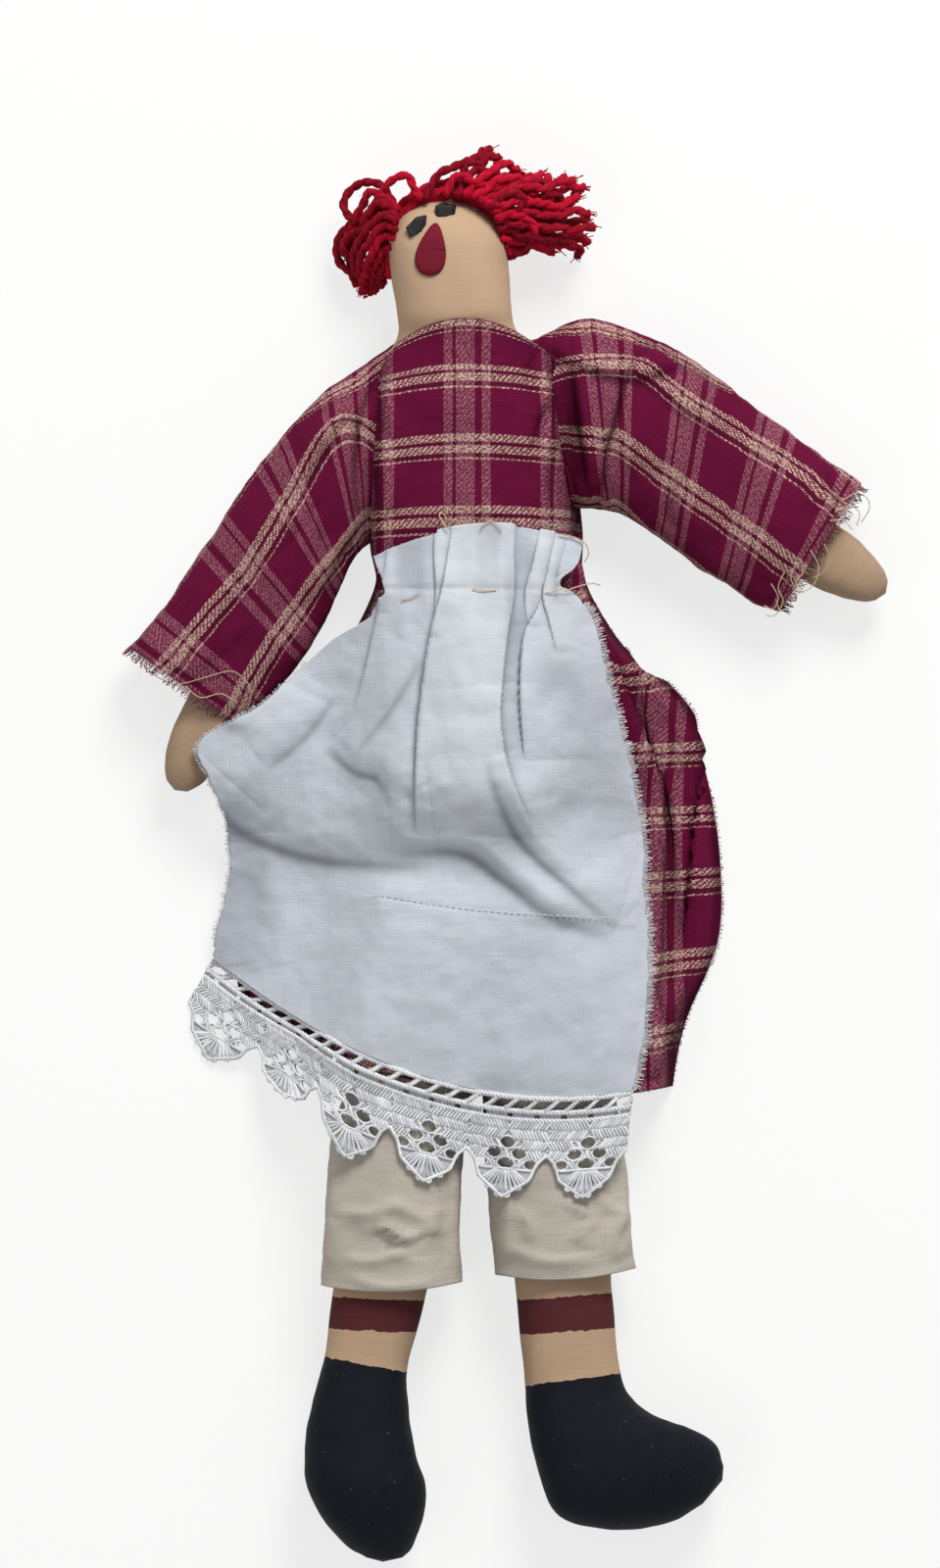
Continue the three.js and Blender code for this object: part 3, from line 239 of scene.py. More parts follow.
SLEEVE_FOLDS = {
    "left": table_of("""
7 2.4 -1 0.16: -410 1594 -64 -186 -19 -224 26 -144
5 1.8 1 0.3: -464 1408 -74 19 -44 -51 -122 -192
9 1.8 0 1: -538 1440 -70 -160 26 -224
9 1.6 0 1: -704 1184 -96 -192 38 -192
10 1.4 1 0.5: -928 928 -80 -192 -48 -160
5 1.8 1 0.3: -474 1120 -86 -128 -80 -160
4 -2.5 0 1: -448 1504 -19 -192 9 -256
5 1.2 -1 0.4: -608 1120 -96 -128 -160 -128
5 1 1 0.4: -832 800 -112 -128 -112 -64
"""),
    "right": table_of("""
7 2.4 -1 0.2: 128 1658 115 -64 167 -39 166 42
12 3.2 -1 0.08: 432 1603 -35 -48 -35 -150 -29 -99 -26 -170
6 3 -1 0.16: 218 1594 25 -186 26 -224
4 -2.5 0 1: 192 1594 -6 -186 32 -288
9 1.4 0 1: 576 1568 -32 -128 -70 -192
10 1.6 0 1: 768 1440 -64 -192 -128 -192
6 1.6 1 0.4: 384 1658 160 -103 224 -150
5 1.2 -1 0.4: 422 1568 122 -96 160 -96
8 1.6 1 0.4: 544 1280 -64 -160 64 -115
9 1.6 0 1: 896 1280 0 -192 -64 -192
5 1.4 1 0.4: 992 1248 38 -128 -51 -128
"""),
}
HEM_STITCH = lines_of("""
-544 -106 256 -54 320 -38 400 -16
""")[0]


def from_srgb(*shades):
    """Linear colour from the 0 to 255 shades of a paint chart."""
    return tuple((s / 255 / 12.92) if s < 10.4 else ((s / 255 + 0.055) / 1.055) ** 2.4 for s in shades)


def colour(title, about, *shades):
    return bpy.props.FloatVectorProperty(
        name=title, description=about, default=from_srgb(*shades), subtype="COLOR", min=0, max=1,
    )


def length(title, about, millimetres):
    return bpy.props.FloatProperty(name=title, description=about, default=millimetres * MM, unit="LENGTH")


class DollColours(bpy.types.PropertyGroup):
    muslin: colour("Muslin", "Skin cloth of the doll", 196, 166, 138)
    paint_red: colour("Painted band", "Paint of the sock bands", 84, 40, 44)
    paint_black: colour("Painted boots", "Paint of the boots", 14, 16, 24)
    bead: colour("Beads", "Glass of the eyes", 9, 9, 11)
    nose: colour("Nose patch", "Felt of the nose", 122, 30, 48)
    yarn: colour("Yarn", "Crimson cotton of the hair", 168, 10, 40)
    wine: colour("Plaid ground", "Wine thread of the dress", 104, 18, 56)
    brown: colour("Plaid shadow", "Dark thread beside the stripes", 78, 18, 38)
    ecru: colour("Plaid stripe", "Natural thread of the stripes", 214, 186, 168)
    pink: colour("Plaid band", "Faded thread of the triple bands", 178, 122, 134)
    linen: colour("Linen", "White cloth of the apron", 206, 212, 222)
    # This colour also serves as painted shade at the two widest spots low on the apron
    linen_sheer_and_shade: colour("Sheer linen", "Apron where one layer lies over dark cloth", 157, 161, 171)
    linen_layers: colour("Layered linen", "Apron where pleats lie in layers", 214, 219, 225)
    lace: colour("Lace", "Cotton of the crochet edging", 224, 226, 230)
    bloomer: colour("Bloomers", "Unbleached cloth of the bloomers", 198, 190, 178)
    thread: colour("Sewing thread", "Natural thread of seams and fringes", 216, 190, 160)
    floor: colour("Floor", "Plain pale floor", 245, 245, 245)


class DollSizes(bpy.types.PropertyGroup):
    plaid_thread: length("Plaid thread", "Distance between threads of the dress", 0.56)
    linen_thread: length("Linen thread", "Distance between threads of the apron", 0.42)
    muslin_thread: length("Muslin thread", "Distance between threads of the skin", 0.45)
    yarn_width: length("Yarn width", "Thickness of the hair yarn", 2.9)
    lace_thread: length("Lace thread", "Thickness of the crochet cotton", 0.84)
    fringe_thread: length("Fringe thread", "Thickness of a frayed thread", 0.28)
    camera_height: length("Camera height", "Height of the camera over the floor", 10000)


# Shapes as arrays


def cubic(a, b, c, d, t):
    return b + t * (c - a) / 2 + t * t * (a - 2.5 * b + 2 * c - d / 2) + t ** 3 * (1.5 * (b - c) + (d - a) / 2)


def along_rows(rows, count):
    """Rows of a table resampled to a count through smooth curves."""
    rows = np.asarray(rows, float)
    place = np.linspace(0, len(rows) - 1, count)
    row = np.minimum(place.astype(int), len(rows) - 2)
    pick = lambda index: rows[np.clip(index, 0, len(rows) - 1)]
    return cubic(pick(row - 1), pick(row), pick(row + 1), pick(row + 2), (place - row)[:, None])


def smooth_step(low, high, value):
    t = np.clip((np.asarray(value, float) - low) / (high - low), 0, 1)
    return t * t * (3 - 2 * t)


def line_lengths(points):
    """Distance along a line of points, from 0 at its start."""
    steps = np.linalg.norm(np.diff(points, axis=0), axis=1)
    return np.concatenate([[0], np.cumsum(steps)])


def evenly(points, count):
    """A line of points resampled to even steps."""
    points = np.asarray(points, float)
    along = line_lengths(points)
    wanted = np.linspace(0, along[-1], count)
    return np.stack([np.interp(wanted, along, points[:, k]) for k in range(points.shape[1])], axis=1)


def unit(vectors):
    return vectors / np.maximum(np.linalg.norm(vectors, axis=-1, keepdims=True), 1e-9)


def raised(flat, height):
    """Points of the plane with their heights."""
    return np.concatenate([flat, height[..., None]], axis=-1)


def signed_power(value, power):
    return np.sign(value) * np.abs(value) ** power


def rings_of(rungs, sides, across_power=0.86, up_power=0.86):
    """Rings of a stuffed form from rungs: left x, left y, right x, right y, thickness, middle height."""
    rungs = np.asarray(rungs, float)
    angle = np.linspace(0, 2 * math.pi, sides, endpoint=False)
    across = signed_power(np.cos(angle), across_power)
    up = signed_power(np.sin(angle), up_power)
    share = (1 + across) / 2
    left, right = rungs[:, None, 0:2], rungs[:, None, 2:4]
    flat = left + (right - left) * share[None, :, None]
    height = rungs[:, 5:6] + up[None, :] * rungs[:, 4:5] / 2
    return raised(flat, height)


def rough(points, size, seed=0.0, octaves=3):
    """Smooth noise from -1 to 1 at each point, for lumps and wrinkles of about a size in millimetres."""
    lift = Vector((seed, seed * 1.7, seed * 0.3))
    return np.array([
        noise.fractal(Vector(p) / size + lift, 0.9, 2.0, octaves, noise_basis="PERLIN_ORIGINAL") for p in points
    ])


def normals_of(rings):
    """Normals of rings of points, by the slopes round them and from ring to ring."""
    along = (np.roll(rings, -1, axis=1) - np.roll(rings, 1, axis=1)) / 2
    return unit(np.cross(along, np.gradient(rings, axis=0)))


class Fold:
    """A raised line on cloth, seen from above. A steep one laps over its own foot, as a pressed pleat does, and gets a
    line of painted shade along that foot.
    """

    lap_share = 0.5
    lap_width = 1.5
    ease = 2.2
    waist = 95
    waist_share = 0.04
    full_height = 2.4

    def __init__(self, points, half_width, height, steep_side, steep_share):
        self.line = evenly(along_rows(points, 8 * len(points)), 40)
        self.half_width = half_width
        self.height = height
        self.steep_side = steep_side
        self.steep_width = half_width * steep_share
        self.lap = self.lap_share * abs(height) if steep_side and self.steep_width < self.lap_width else 0

    def nearest(self, flat):
        """Distance of each point from the line, the way to it, its side and its share along the line."""
        start, step = self.line[:-1], np.diff(self.line, axis=0)
        rel = flat[:, None] - start
        along = np.clip(np.einsum("nki,ki->nk", rel, step) / (step ** 2).sum(axis=1), 0, 1)
        off = rel - along[..., None] * step
        apart = np.hypot(off[..., 0], off[..., 1])
        best = apart.argmin(axis=1)
        picked = (np.arange(len(flat)), best)
        apart, rel, step = apart[picked], rel[picked], step[best]
        side = -np.sign(step[:, 0] * rel[:, 1] - step[:, 1] * rel[:, 0])
        return apart, off[picked] / np.maximum(apart, 1e-6)[:, None], side, (best + along[picked]) / len(start)

    def effect(self, flat):
        """Lift of each point, how far it moves sideways, and the strength of the shade painted at the foot of a steep
        side.
        """
        apart, way, side, share = self.nearest(flat)
        steep = (side * self.steep_side) < 0
        width = np.where(steep, self.steep_width, self.half_width)
        # A pleat that starts over the waist stands up from its very start
        low = self.waist_share if self.line[0, 1] > self.waist else 0
        ends = np.sin(np.clip(share, low, 1) * math.pi) ** 0.6
        lift = self.height * ends * np.exp(-(apart / width) ** 2)
        foot = 1.5 * self.steep_width
        over = np.exp(-apart / self.ease)
        under = (2 * smooth_step(0, max(foot, 0.01), apart) - 1) * np.exp(-np.maximum(apart - foot, 0) / self.ease)
        move = -way * (self.lap * ends * np.where(steep, under, over))[:, None]
        # Painted shade: a dark line at the foot of a steep side, where the lapped cloth would shade it
        crease_shade = np.where(steep, np.exp(-((apart - 0.8 * foot) / (0.9 + 0.25 * abs(self.height))) ** 2), 0)
        return lift, move, crease_shade * ends * min(abs(self.height) / self.full_height, 1) * (self.steep_side != 0)


def folded(flat, folds):
    """Lift, sideways move and painted shade of all folds at points of the plane."""
    lift, move, crease_shade = np.zeros(len(flat)), np.zeros((len(flat), 2)), np.zeros(len(flat))
    for numbers, line in folds:
        rise, shift, foot = Fold(line, *numbers).effect(flat)
        lift, move, crease_shade = lift + rise, move + shift, np.maximum(crease_shade, foot)
    return lift, move, crease_shade


def neighbours(values):
    """The four values beside each cell of a raster."""
    return [np.roll(values, way, axis=axis) for axis in (0, 1) for way in (-1, 1)]


def hollows(heights, reach=5):
    """How far each point of a grid of heights lies below the mean round it, in millimetres."""
    mean = heights.copy()
    for _ in range(reach):
        padded = np.pad(mean, 1, mode="edge")
        mean = (padded[:-2, 1:-1] + padded[2:, 1:-1] + padded[1:-1, :-2] + padded[1:-1, 2:] + mean) / 5
    return np.maximum(mean - heights, 0)


# Meshes


def add_mesh(name, points, faces, material, corners=None, tones=None):
    """A smooth mesh object from points in millimetres; corners holds the place in the cloth of each face corner,
    and for a patterned cloth its phase in the repeat."""
    mesh = bpy.data.meshes.new(name)
    mesh.from_pydata((np.asarray(points, float) * MM).tolist(), [], faces)
    mesh.polygons.foreach_set("use_smooth", [True] * len(mesh.polygons))
    corners = np.zeros((0, 0)) if corners is None else np.asarray(corners, float)
    for title, first, scale in (("cloth", 0, MM), ("repeat", 2, 1)):
        if corners.shape[1] > first:
            layer = mesh.attributes.new(title, "FLOAT_VECTOR", "CORNER")
            flat = np.zeros((len(mesh.loops), 3), np.float32)
            flat[:, :2] = corners[:, first:first + 2] * scale
            layer.data.foreach_set("vector", flat.ravel())
    for title, values in (tones or {}).items():
        tone = mesh.attributes.new(title, "FLOAT", "POINT")
        tone.data.foreach_set("value", np.asarray(values, np.float32))
    mesh.materials.append(material)
    mesh.update()
    piece = bpy.data.objects.new(name, mesh)
    bpy.context.scene.collection.objects.link(piece)
    return piece


def grid_piece(name, grid, material, cloth, wrap=False, ends=None, tones=None, keep=None):
    """A mesh over a grid of points. With wrap it is a tube, and ends holds its two closing points."""
    rows, columns = grid.shape[:2]
    points = grid.reshape(-1, 3).tolist()
    last = columns if wrap else columns - 1
    faces, corners = [], []
    for i in range(rows - 1):
        for j in range(last):
            if keep is not None and not keep[i, j]:
                continue
            k = (j + 1) % columns
            faces.append((i * columns + j, i * columns + k, (i + 1) * columns + k, (i + 1) * columns + j))
            corners += [cloth[i, j], cloth[i, j + 1], cloth[i + 1, j + 1], cloth[i + 1, j]]
    if ends is not None:
        for row, tip, flip in ((0, ends[0], True), (rows - 1, ends[1], False)):
            points.append(list(tip))
            pole = len(points) - 1
            for j in range(columns):
                k = (j + 1) % columns
                near, far = row * columns + j, row * columns + k
                faces.append((pole, far, near) if flip else (pole, near, far))
                middle = (cloth[row, j] + cloth[row, j + 1]) / 2
                corners += [middle, cloth[row, j + 1], cloth[row, j]] if flip else [
                    middle, cloth[row, j], cloth[row, j + 1]]
    if tones is not None and ends is not None:
        tones = {k: np.concatenate([v, [v[0], v[-1]]]) for k, v in tones.items()}
    return add_mesh(name, points, faces, material, corners, tones)


def cloth_round(grid):
    """Flat cloth places of a tube of rings: around it from its right side, and along it."""
    closed = np.concatenate([grid, grid[:, :1]], axis=1)
    around = np.linalg.norm(np.diff(closed, axis=1), axis=2)
    around = np.concatenate([np.zeros((len(grid), 1)), np.cumsum(around, axis=1)], axis=1)
    middle = grid.mean(axis=1)
    along = line_lengths(middle)
    return np.stack([around, np.repeat(along[:, None], around.shape[1], axis=1)], axis=2)


def band_faces(near, far, count):
    """Faces between two rings of points that start at two numbers."""
    return [(near + j, near + (j + 1) % count, far + (j + 1) % count, far + j) for j in range(count)]


def tube_piece(name, paths, widths, material, sides=6, tones=None):
    """Many tubes in one mesh, each along its own line of points; a tube tapers where its width is a list."""
    points, faces, corners, tone_values = [], [], [], []
    angle = np.linspace(0, 2 * math.pi, sides, endpoint=False)
    for number, (path, width) in enumerate(zip(paths, widths)):
        path = np.asarray(path, float)
        radius = np.broadcast_to(np.asarray(width, float) / 2, (len(path),))
        tangent = unit(np.gradient(path, axis=0))
        side = np.cross(tangent[0], (0.0, 0.0, 1.0))
        if np.linalg.norm(side) < 0.1:
            side = np.cross(tangent[0], (0.0, 1.0, 0.0))
        along = line_lengths(path)
        base = len(points)
        for k, place in enumerate(path):
            side = unit(side - tangent[k] * (side @ tangent[k]))
            up = np.cross(side, tangent[k])
            ring = place + radius[k] * (np.outer(np.cos(angle), side) + np.outer(np.sin(angle), up))
            points.extend(ring.tolist())
        for k in range(len(path) - 1):
            faces += band_faces(base + k * sides, base + (k + 1) * sides, sides)
            for j in range(sides):
                u, v = j / sides * 3, (j + 1) / sides * 3
                corners += [(u, along[k]), (v, along[k]), (v, along[k + 1]), (u, along[k + 1])]
        for row in (0, len(path) - 1):
            ring = [base + row * sides + j for j in range(sides)]
            faces.append(tuple(ring if row else ring[::-1]))
            corners += [(0, along[row])] * sides
        tone = 0.5 if tones is None else tones[number]
        tone_values += [tone] * (len(path) * sides)
    return add_mesh(name, points, faces, material, corners, {"tone": tone_values})


class Strands:
    """Lines of thread that make one piece, with the width and the tone of each."""

    def __init__(self):
        self.lines, self.widths, self.tones = [], [], []

    def add(self, line, width, tone):
        self.lines.append(line)
        self.widths.append(width)
        self.tones.append(tone)

    def piece(self, name, material, sides):
        return tube_piece(name, self.lines, self.widths, material, sides, self.tones)


def plies_of(path, width, pitch, seed):
    """Lines of the two plies that twist round a yarn."""
    count = max(int(line_lengths(path)[-1] / pitch * 7), 8)
    path = evenly(path, count)
    tangent = unit(np.gradient(path, axis=0))
    side = unit(np.cross(tangent, (0.0, 0.0, 1.0)))
    up = np.cross(side, tangent)
    turn = line_lengths(path) / pitch * 2 * math.pi + seed
    return [path + width * 0.25 * (np.cos(phase)[:, None] * side + np.sin(phase)[:, None] * up)
            for phase in (turn, turn + math.pi)]


def thickened(piece, thickness, offset=-1.0):
    """Gives a sheet its thickness."""
    solid = piece.modifiers.new("thickness", "SOLIDIFY")
    solid.thickness = thickness * MM
    solid.offset = offset
    solid.use_even_offset = False



# Heights of what lies under a cloth, on a raster over the plane


class Relief:
    """The highest surface over each cell of a raster, and cloth that settles on it."""

    cell = 1.0
    low = (-136.0, -242.0)
    shape = (484, 272)

    def __init__(self):
        self.x = self.low[0] + self.cell * np.arange(self.shape[1])
        self.y = self.low[1] + self.cell * np.arange(self.shape[0])
        self.height = np.zeros(self.shape)

    def add(self, piece, joint=None, angles=()):
        """Raises the raster to the top of a piece, also where it swings about a joint by each of the angles."""
        graph = bpy.context.evaluated_depsgraph_get()
        tree = BVHTree.FromObject(piece, graph)
        points = np.array([v.co for v in piece.data.vertices]) / MM
        near = (points.min(0) - 1, points.max(0) + 1)
        down = Vector((0, 0, -1))
        own = np.zeros(self.shape)
        for i in np.flatnonzero((self.y > near[0][1]) & (self.y < near[1][1])):
            for j in np.flatnonzero((self.x > near[0][0]) & (self.x < near[1][0])):
                hit = tree.ray_cast(Vector((self.x[j] * MM, self.y[i] * MM, 0.3)), down)[0]
                if hit is not None:
                    own[i, j] = hit.z / MM
        self.height = np.maximum(self.height, own)
        xx, yy = np.meshgrid(self.x, self.y)
        for angle in np.radians(angles):
            x, y = xx - joint[0], yy - joint[1]
            back = np.stack([joint[0] + x * math.cos(angle) + y * math.sin(angle),
                             joint[1] - x * math.sin(angle) + y * math.cos(angle)], axis=-1)
            self.height = np.maximum(self.height, self.read(own, back.reshape(-1, 2)).reshape(self.shape))
        return self

    def add_all(self, *names):
        for name in names:
            self.add(bpy.data.objects[name])
        return self

    def add_limbs(self, arms=False):
        """Raises the raster to the stuffed limbs and their cloth, with room for them to swing."""
        for side, way in (("left", -1), ("right", 1)):
            for name in (f"stuffed_leg_{side}", f"bloomer_cloth_{side}"):
                self.add(bpy.data.objects[name], HIPS[side], way * np.array(LEG_SWINGS))
        if arms:
            for name in ("stuffed_arm_left", "sleeve_cloth_left"):
                self.add(bpy.data.objects[name], SHOULDERS["left"], ARM_SWINGS)
        return self

    def inside(self, outline):
        """Cells within a closed outline."""
        xx, yy = np.meshgrid(self.x, self.y)
        found = np.zeros(self.shape, bool)
        for (x0, y0), (x1, y1) in zip(outline, np.roll(outline, -1, axis=0)):
            if y0 == y1:
                continue
            crosses = (yy >= min(y0, y1)) & (yy < max(y0, y1))
            found ^= crosses & (xx < x0 + (yy - y0) * (x1 - x0) / (y1 - y0))
        return found

    def spread(self, reach):
        """The raster with each cell raised to the highest one near it."""
        best = self.height.copy()
        for _ in range(reach):
            for axis in (0, 1):
                for way in (-1, 1):
                    best = np.maximum(best, np.roll(best, way, axis=axis))
        return best

    def settle(self, outline, gap, sag, reach=2, rounds=240):
        """Heights of a cloth with that outline which lies on the raster; free cloth sags. Coarse cells go first."""
        mask = self.inside(outline)
        lows = np.where(mask, self.spread(reach) + gap, 0)
        cloth = None
        for step in (8, 4, 2, 1):
            weight = mask[::step, ::step].astype(float)
            low = lows[::step, ::step]
            if cloth is None:
                cloth = low.copy()
            else:
                finer = np.repeat(np.repeat(cloth, 2, axis=0), 2, axis=1)[: low.shape[0], : low.shape[1]]
                cloth = np.maximum(low, finer) * weight
            count = np.maximum(sum(neighbours(weight)), 1)
            for _ in range(rounds):
                level = sum(neighbours(cloth * weight)) / count - sag * step * step
                cloth = np.where(weight > 0, np.maximum(low, level), 0)
        return self.grown(cloth, mask)

    def grown(self, cloth, mask, reach=6):
        """Fills the cells round a cloth with its edge, so that points on the edge can be read."""
        mask = mask.copy()
        for _ in range(reach):
            total, count = sum(neighbours(cloth * mask)), sum(neighbours(mask.astype(float)))
            fresh = ~mask & (count > 0)
            cloth = np.where(fresh, total / np.maximum(count, 1), cloth)
            mask |= fresh
        return cloth

    def read(self, heights, flat):
        """Heights of a raster at points of the plane."""
        u, v = (np.clip((flat[:, k] - self.low[k]) / self.cell, 0, self.shape[1 - k] - 1.001) for k in (0, 1))
        i, j = v.astype(int), u.astype(int)
        fu, fv = u - j, v - i
        top = heights[i, j] * (1 - fu) + heights[i, j + 1] * fu
        bottom = heights[i + 1, j] * (1 - fu) + heights[i + 1, j + 1] * fu
        return top * (1 - fv) + bottom * fv


# Shader node trees


class Nodes:
    """Short calls that add nodes to a tree and link them."""

    def __init__(self, tree):
        self.tree = tree

    def add(self, kind, **settings):
        node = self.tree.nodes.new(kind)
        for key, value in settings.items():
            setattr(node, key, value)
        return node

    def feed(self, socket, value):
        if isinstance(value, bpy.types.NodeSocket):
            self.tree.links.new(value, socket)
        elif socket.type == "RGBA":
            socket.default_value = (*tuple(value)[:3], 1)
        else:
            socket.default_value = value

    def make(self, kind, output, inputs, **settings):
        """Adds a node with values for some of its inputs, and gives one of its outputs."""
        node = self.add(kind, **settings)
        for key, value in inputs.items():
            self.feed(node.inputs[key], value)
        return node.outputs[output]

    def math(self, operation, *values):
        return self.make("ShaderNodeMath", 0, dict(enumerate(values)), operation=operation)

    def mix(self, share, first, second):
        return self.make("ShaderNodeMix", 2, {0: share, 6: first, 7: second}, data_type="RGBA")

    def noise(self, vector, scale, detail=2.0, roughness=0.5):
        inputs = {"Vector": vector, "Scale": scale, "Detail": detail, "Roughness": roughness}
        return self.make("ShaderNodeTexNoise", "Fac", inputs)

    def stretched(self, vector, *scales):
        return self.make("ShaderNodeVectorMath", 0, {0: vector, 1: scales}, operation="MULTIPLY")

    def split(self, vector):
        node = self.add("ShaderNodeSeparateXYZ")
        self.feed(node.inputs[0], vector)
        return node.outputs[0], node.outputs[1], node.outputs[2]

    def joined(self, x, y, z=0.0):
        return self.make("ShaderNodeCombineXYZ", 0, {0: x, 1: y, 2: z})

    def times(self, first, second):
        return self.math("MULTIPLY", first, second)

    def plus(self, first, second):
        return self.math("ADD", first, second)

    def window(self, value, low, high):
        """1 where a value lies between two limits."""
        return self.times(self.math("GREATER_THAN", value, low), self.math("LESS_THAN", value, high))

    def tint(self, tone, mask, strength, colour_value):
        """A tone with another over it, by a mask and the strength of the mask."""
        return self.mix(self.times(mask, strength), tone, colour_value)

    def remap(self, value, low, high, to_low=0.0, to_high=1.0):
        inputs = {"Value": value, "From Min": low, "From Max": high, "To Min": to_low, "To Max": to_high}
        return self.make("ShaderNodeMapRange", 0, inputs)

    def attribute(self, name, output="Vector"):
        return self.add("ShaderNodeAttribute", attribute_name=name).outputs[output]

    def group(self, name, **inputs):
        node = self.add("ShaderNodeGroup", node_tree=bpy.data.node_groups[name])
        for key, value in inputs.items():
            self.feed(node.inputs[key], value)
        return node.outputs

    def bump(self, height, strength, distance, normal=None):
        inputs = {"Height": height, "Strength": strength, "Distance": distance}
        if normal is not None:
            inputs["Normal"] = normal
        return self.make("ShaderNodeBump", 0, inputs)

    def surface(self, shader, colour_value, roughness, normal):
        for key, value in (("Base Color", colour_value), ("Roughness", roughness), ("Normal", normal)):
            self.feed(shader[key], value)

    def seen_directly(self):
        """1 for what the camera sees by itself, in a mirror or through glass."""
        rays = self.add("ShaderNodeLightPath").outputs
        return self.math("MAXIMUM", rays["Is Camera Ray"],
                         self.math("MAXIMUM", rays["Is Glossy Ray"], rays["Is Transmission Ray"]))


def new_group(name, inputs, outputs):
    """An empty node group with named sockets; an input without a value is a vector."""
    tree = bpy.data.node_groups.new(name, "ShaderNodeTree")
    for title, default in inputs.items():
        kind = "NodeSocketVector" if default is None else "NodeSocketFloat"
        socket = tree.interface.new_socket(title, in_out="INPUT", socket_type=kind)
        if default is not None:
            socket.default_value = default
    for title in outputs:
        tree.interface.new_socket(title, in_out="OUTPUT", socket_type="NodeSocketFloat")
    nodes = Nodes(tree)
    entry = nodes.add("NodeGroupInput")
    leave = nodes.add("NodeGroupOutput")
    return nodes, entry.outputs, leave.inputs


def build_weave_group():
    """Threads of a woven cloth: their relief, which system is on top, and uneven threads."""
    nodes, given, out = new_group(
        "woven threads", {"Cloth": None, "Pitch": 0.0006, "Repeat": 2.0}, ("Height", "Warp", "Slub"))
    x, y, _ = nodes.split(given["Cloth"])
    u, v = (nodes.math("DIVIDE", place, given["Pitch"]) for place in (x, y))
    count = nodes.plus(nodes.math("FLOOR", u), nodes.math("FLOOR", v))
    warp = nodes.math("LESS_THAN", nodes.math("FLOORED_MODULO", count, given["Repeat"]), 0.5)
    over_warp, over_weft = (
        nodes.math("ABSOLUTE", nodes.math("SINE", nodes.times(place, math.pi))) for place in (u, v))
    top = nodes.plus(nodes.times(warp, over_warp), nodes.times(nodes.math("SUBTRACT", 1.0, warp), over_weft))
    height = nodes.plus(nodes.times(top, 0.6), nodes.times(nodes.times(over_warp, over_weft), 0.4))
    threads = nodes.joined(u, v)
    weft_threads = nodes.noise(nodes.stretched(threads, 0.035, 1.1, 1.0), 1.0)
    warp_threads = nodes.noise(nodes.stretched(threads, 1.1, 0.035, 1.0), 1.0)
    slub = nodes.plus(nodes.times(weft_threads, 0.72), nodes.times(warp_threads, 0.28))
    for title, value in (("Height", height), ("Warp", warp), ("Slub", slub)):
        nodes.feed(out[title], value)


def build_age_group():
    """Uneven tone of used cloth: broad stains and small specks."""
    nodes, given, out = new_group("age and specks", {"Place": None, "Size": 0.02}, ("Stain", "Speck"))
    scale = nodes.math("DIVIDE", 1.0, given["Size"])
    stain = nodes.noise(given["Place"], scale, 4.0, 0.6)
    fine = nodes.noise(given["Place"], nodes.times(scale, 22.0), 1.0, 0.4)
    nodes.feed(out["Stain"], nodes.remap(stain, 0.3, 0.7))
    nodes.feed(out["Speck"], nodes.remap(fine, 0.76, 0.8))


def new_material(name, roughness, sheen=0.0, specular=0.12, sheen_colour=None):
    material = bpy.data.materials.new(name)
    material.use_nodes = True
    tree = material.node_tree
    shader = tree.nodes["Principled BSDF"]
    shader.inputs["Roughness"].default_value = roughness
    shader.inputs["Specular IOR Level"].default_value = specular
    shader.inputs["Sheen Weight"].default_value = sheen
    shader.inputs["Sheen Roughness"].default_value = 0.45
    if sheen_colour is not None:
        shader.inputs["Sheen Tint"].default_value = (*sheen_colour, 1)
    return material, Nodes(tree), shader.inputs


def shade(colour_value, factor):
    return tuple(min(c * factor, 1) for c in colour_value)


def woven_start(name, roughness, pitch, stain_size, repeat=2.0, **look):
    """A material of woven cloth, with its threads, its wear and its place in the cloth."""
    material, nodes, shader = new_material(name, roughness, **look)
    place = nodes.attribute("cloth")
    threads = nodes.group("woven threads", Cloth=place, Pitch=pitch, Repeat=repeat)
    wear = nodes.group("age and specks", Place=place, Size=stain_size)
    return material, nodes, shader, place, threads, wear


def woven_material(name, base, pitch, age=0.1, slub=0.25, bump=0.35, sheen=0.15, crinkle=0.0):
    """A plain woven cloth of one colour."""
    material, nodes, shader, place, threads, wear = woven_start(
        name, 0.92, pitch, 0.03, sheen=sheen, sheen_colour=base)
    tone = nodes.mix(nodes.remap(threads["Slub"], 0.3, 0.7), shade(base, 1 - slub), shade(base, 1 + slub * 0.6))
    tone = nodes.tint(tone, wear["Stain"], age, shade(base, 0.62))
    tone = nodes.tint(tone, wear["Speck"], age * 2, shade(base, 0.45))
    # Painted shade between the threads: darker where the weave lies low
    tone = nodes.mix(nodes.remap(threads["Height"], 0.0, 0.5, 0.35, 0.0), tone, shade(base, 0.6))
    normal = nodes.bump(threads["Height"], bump, pitch * 0.5)
    if crinkle:
        normal = nodes.bump(nodes.noise(place, 90.0, 4.0, 0.6), crinkle, 0.0012, normal)
    nodes.surface(shader, tone, nodes.remap(threads["Slub"], 0.3, 0.7, 0.98, 0.86), normal)
    return material


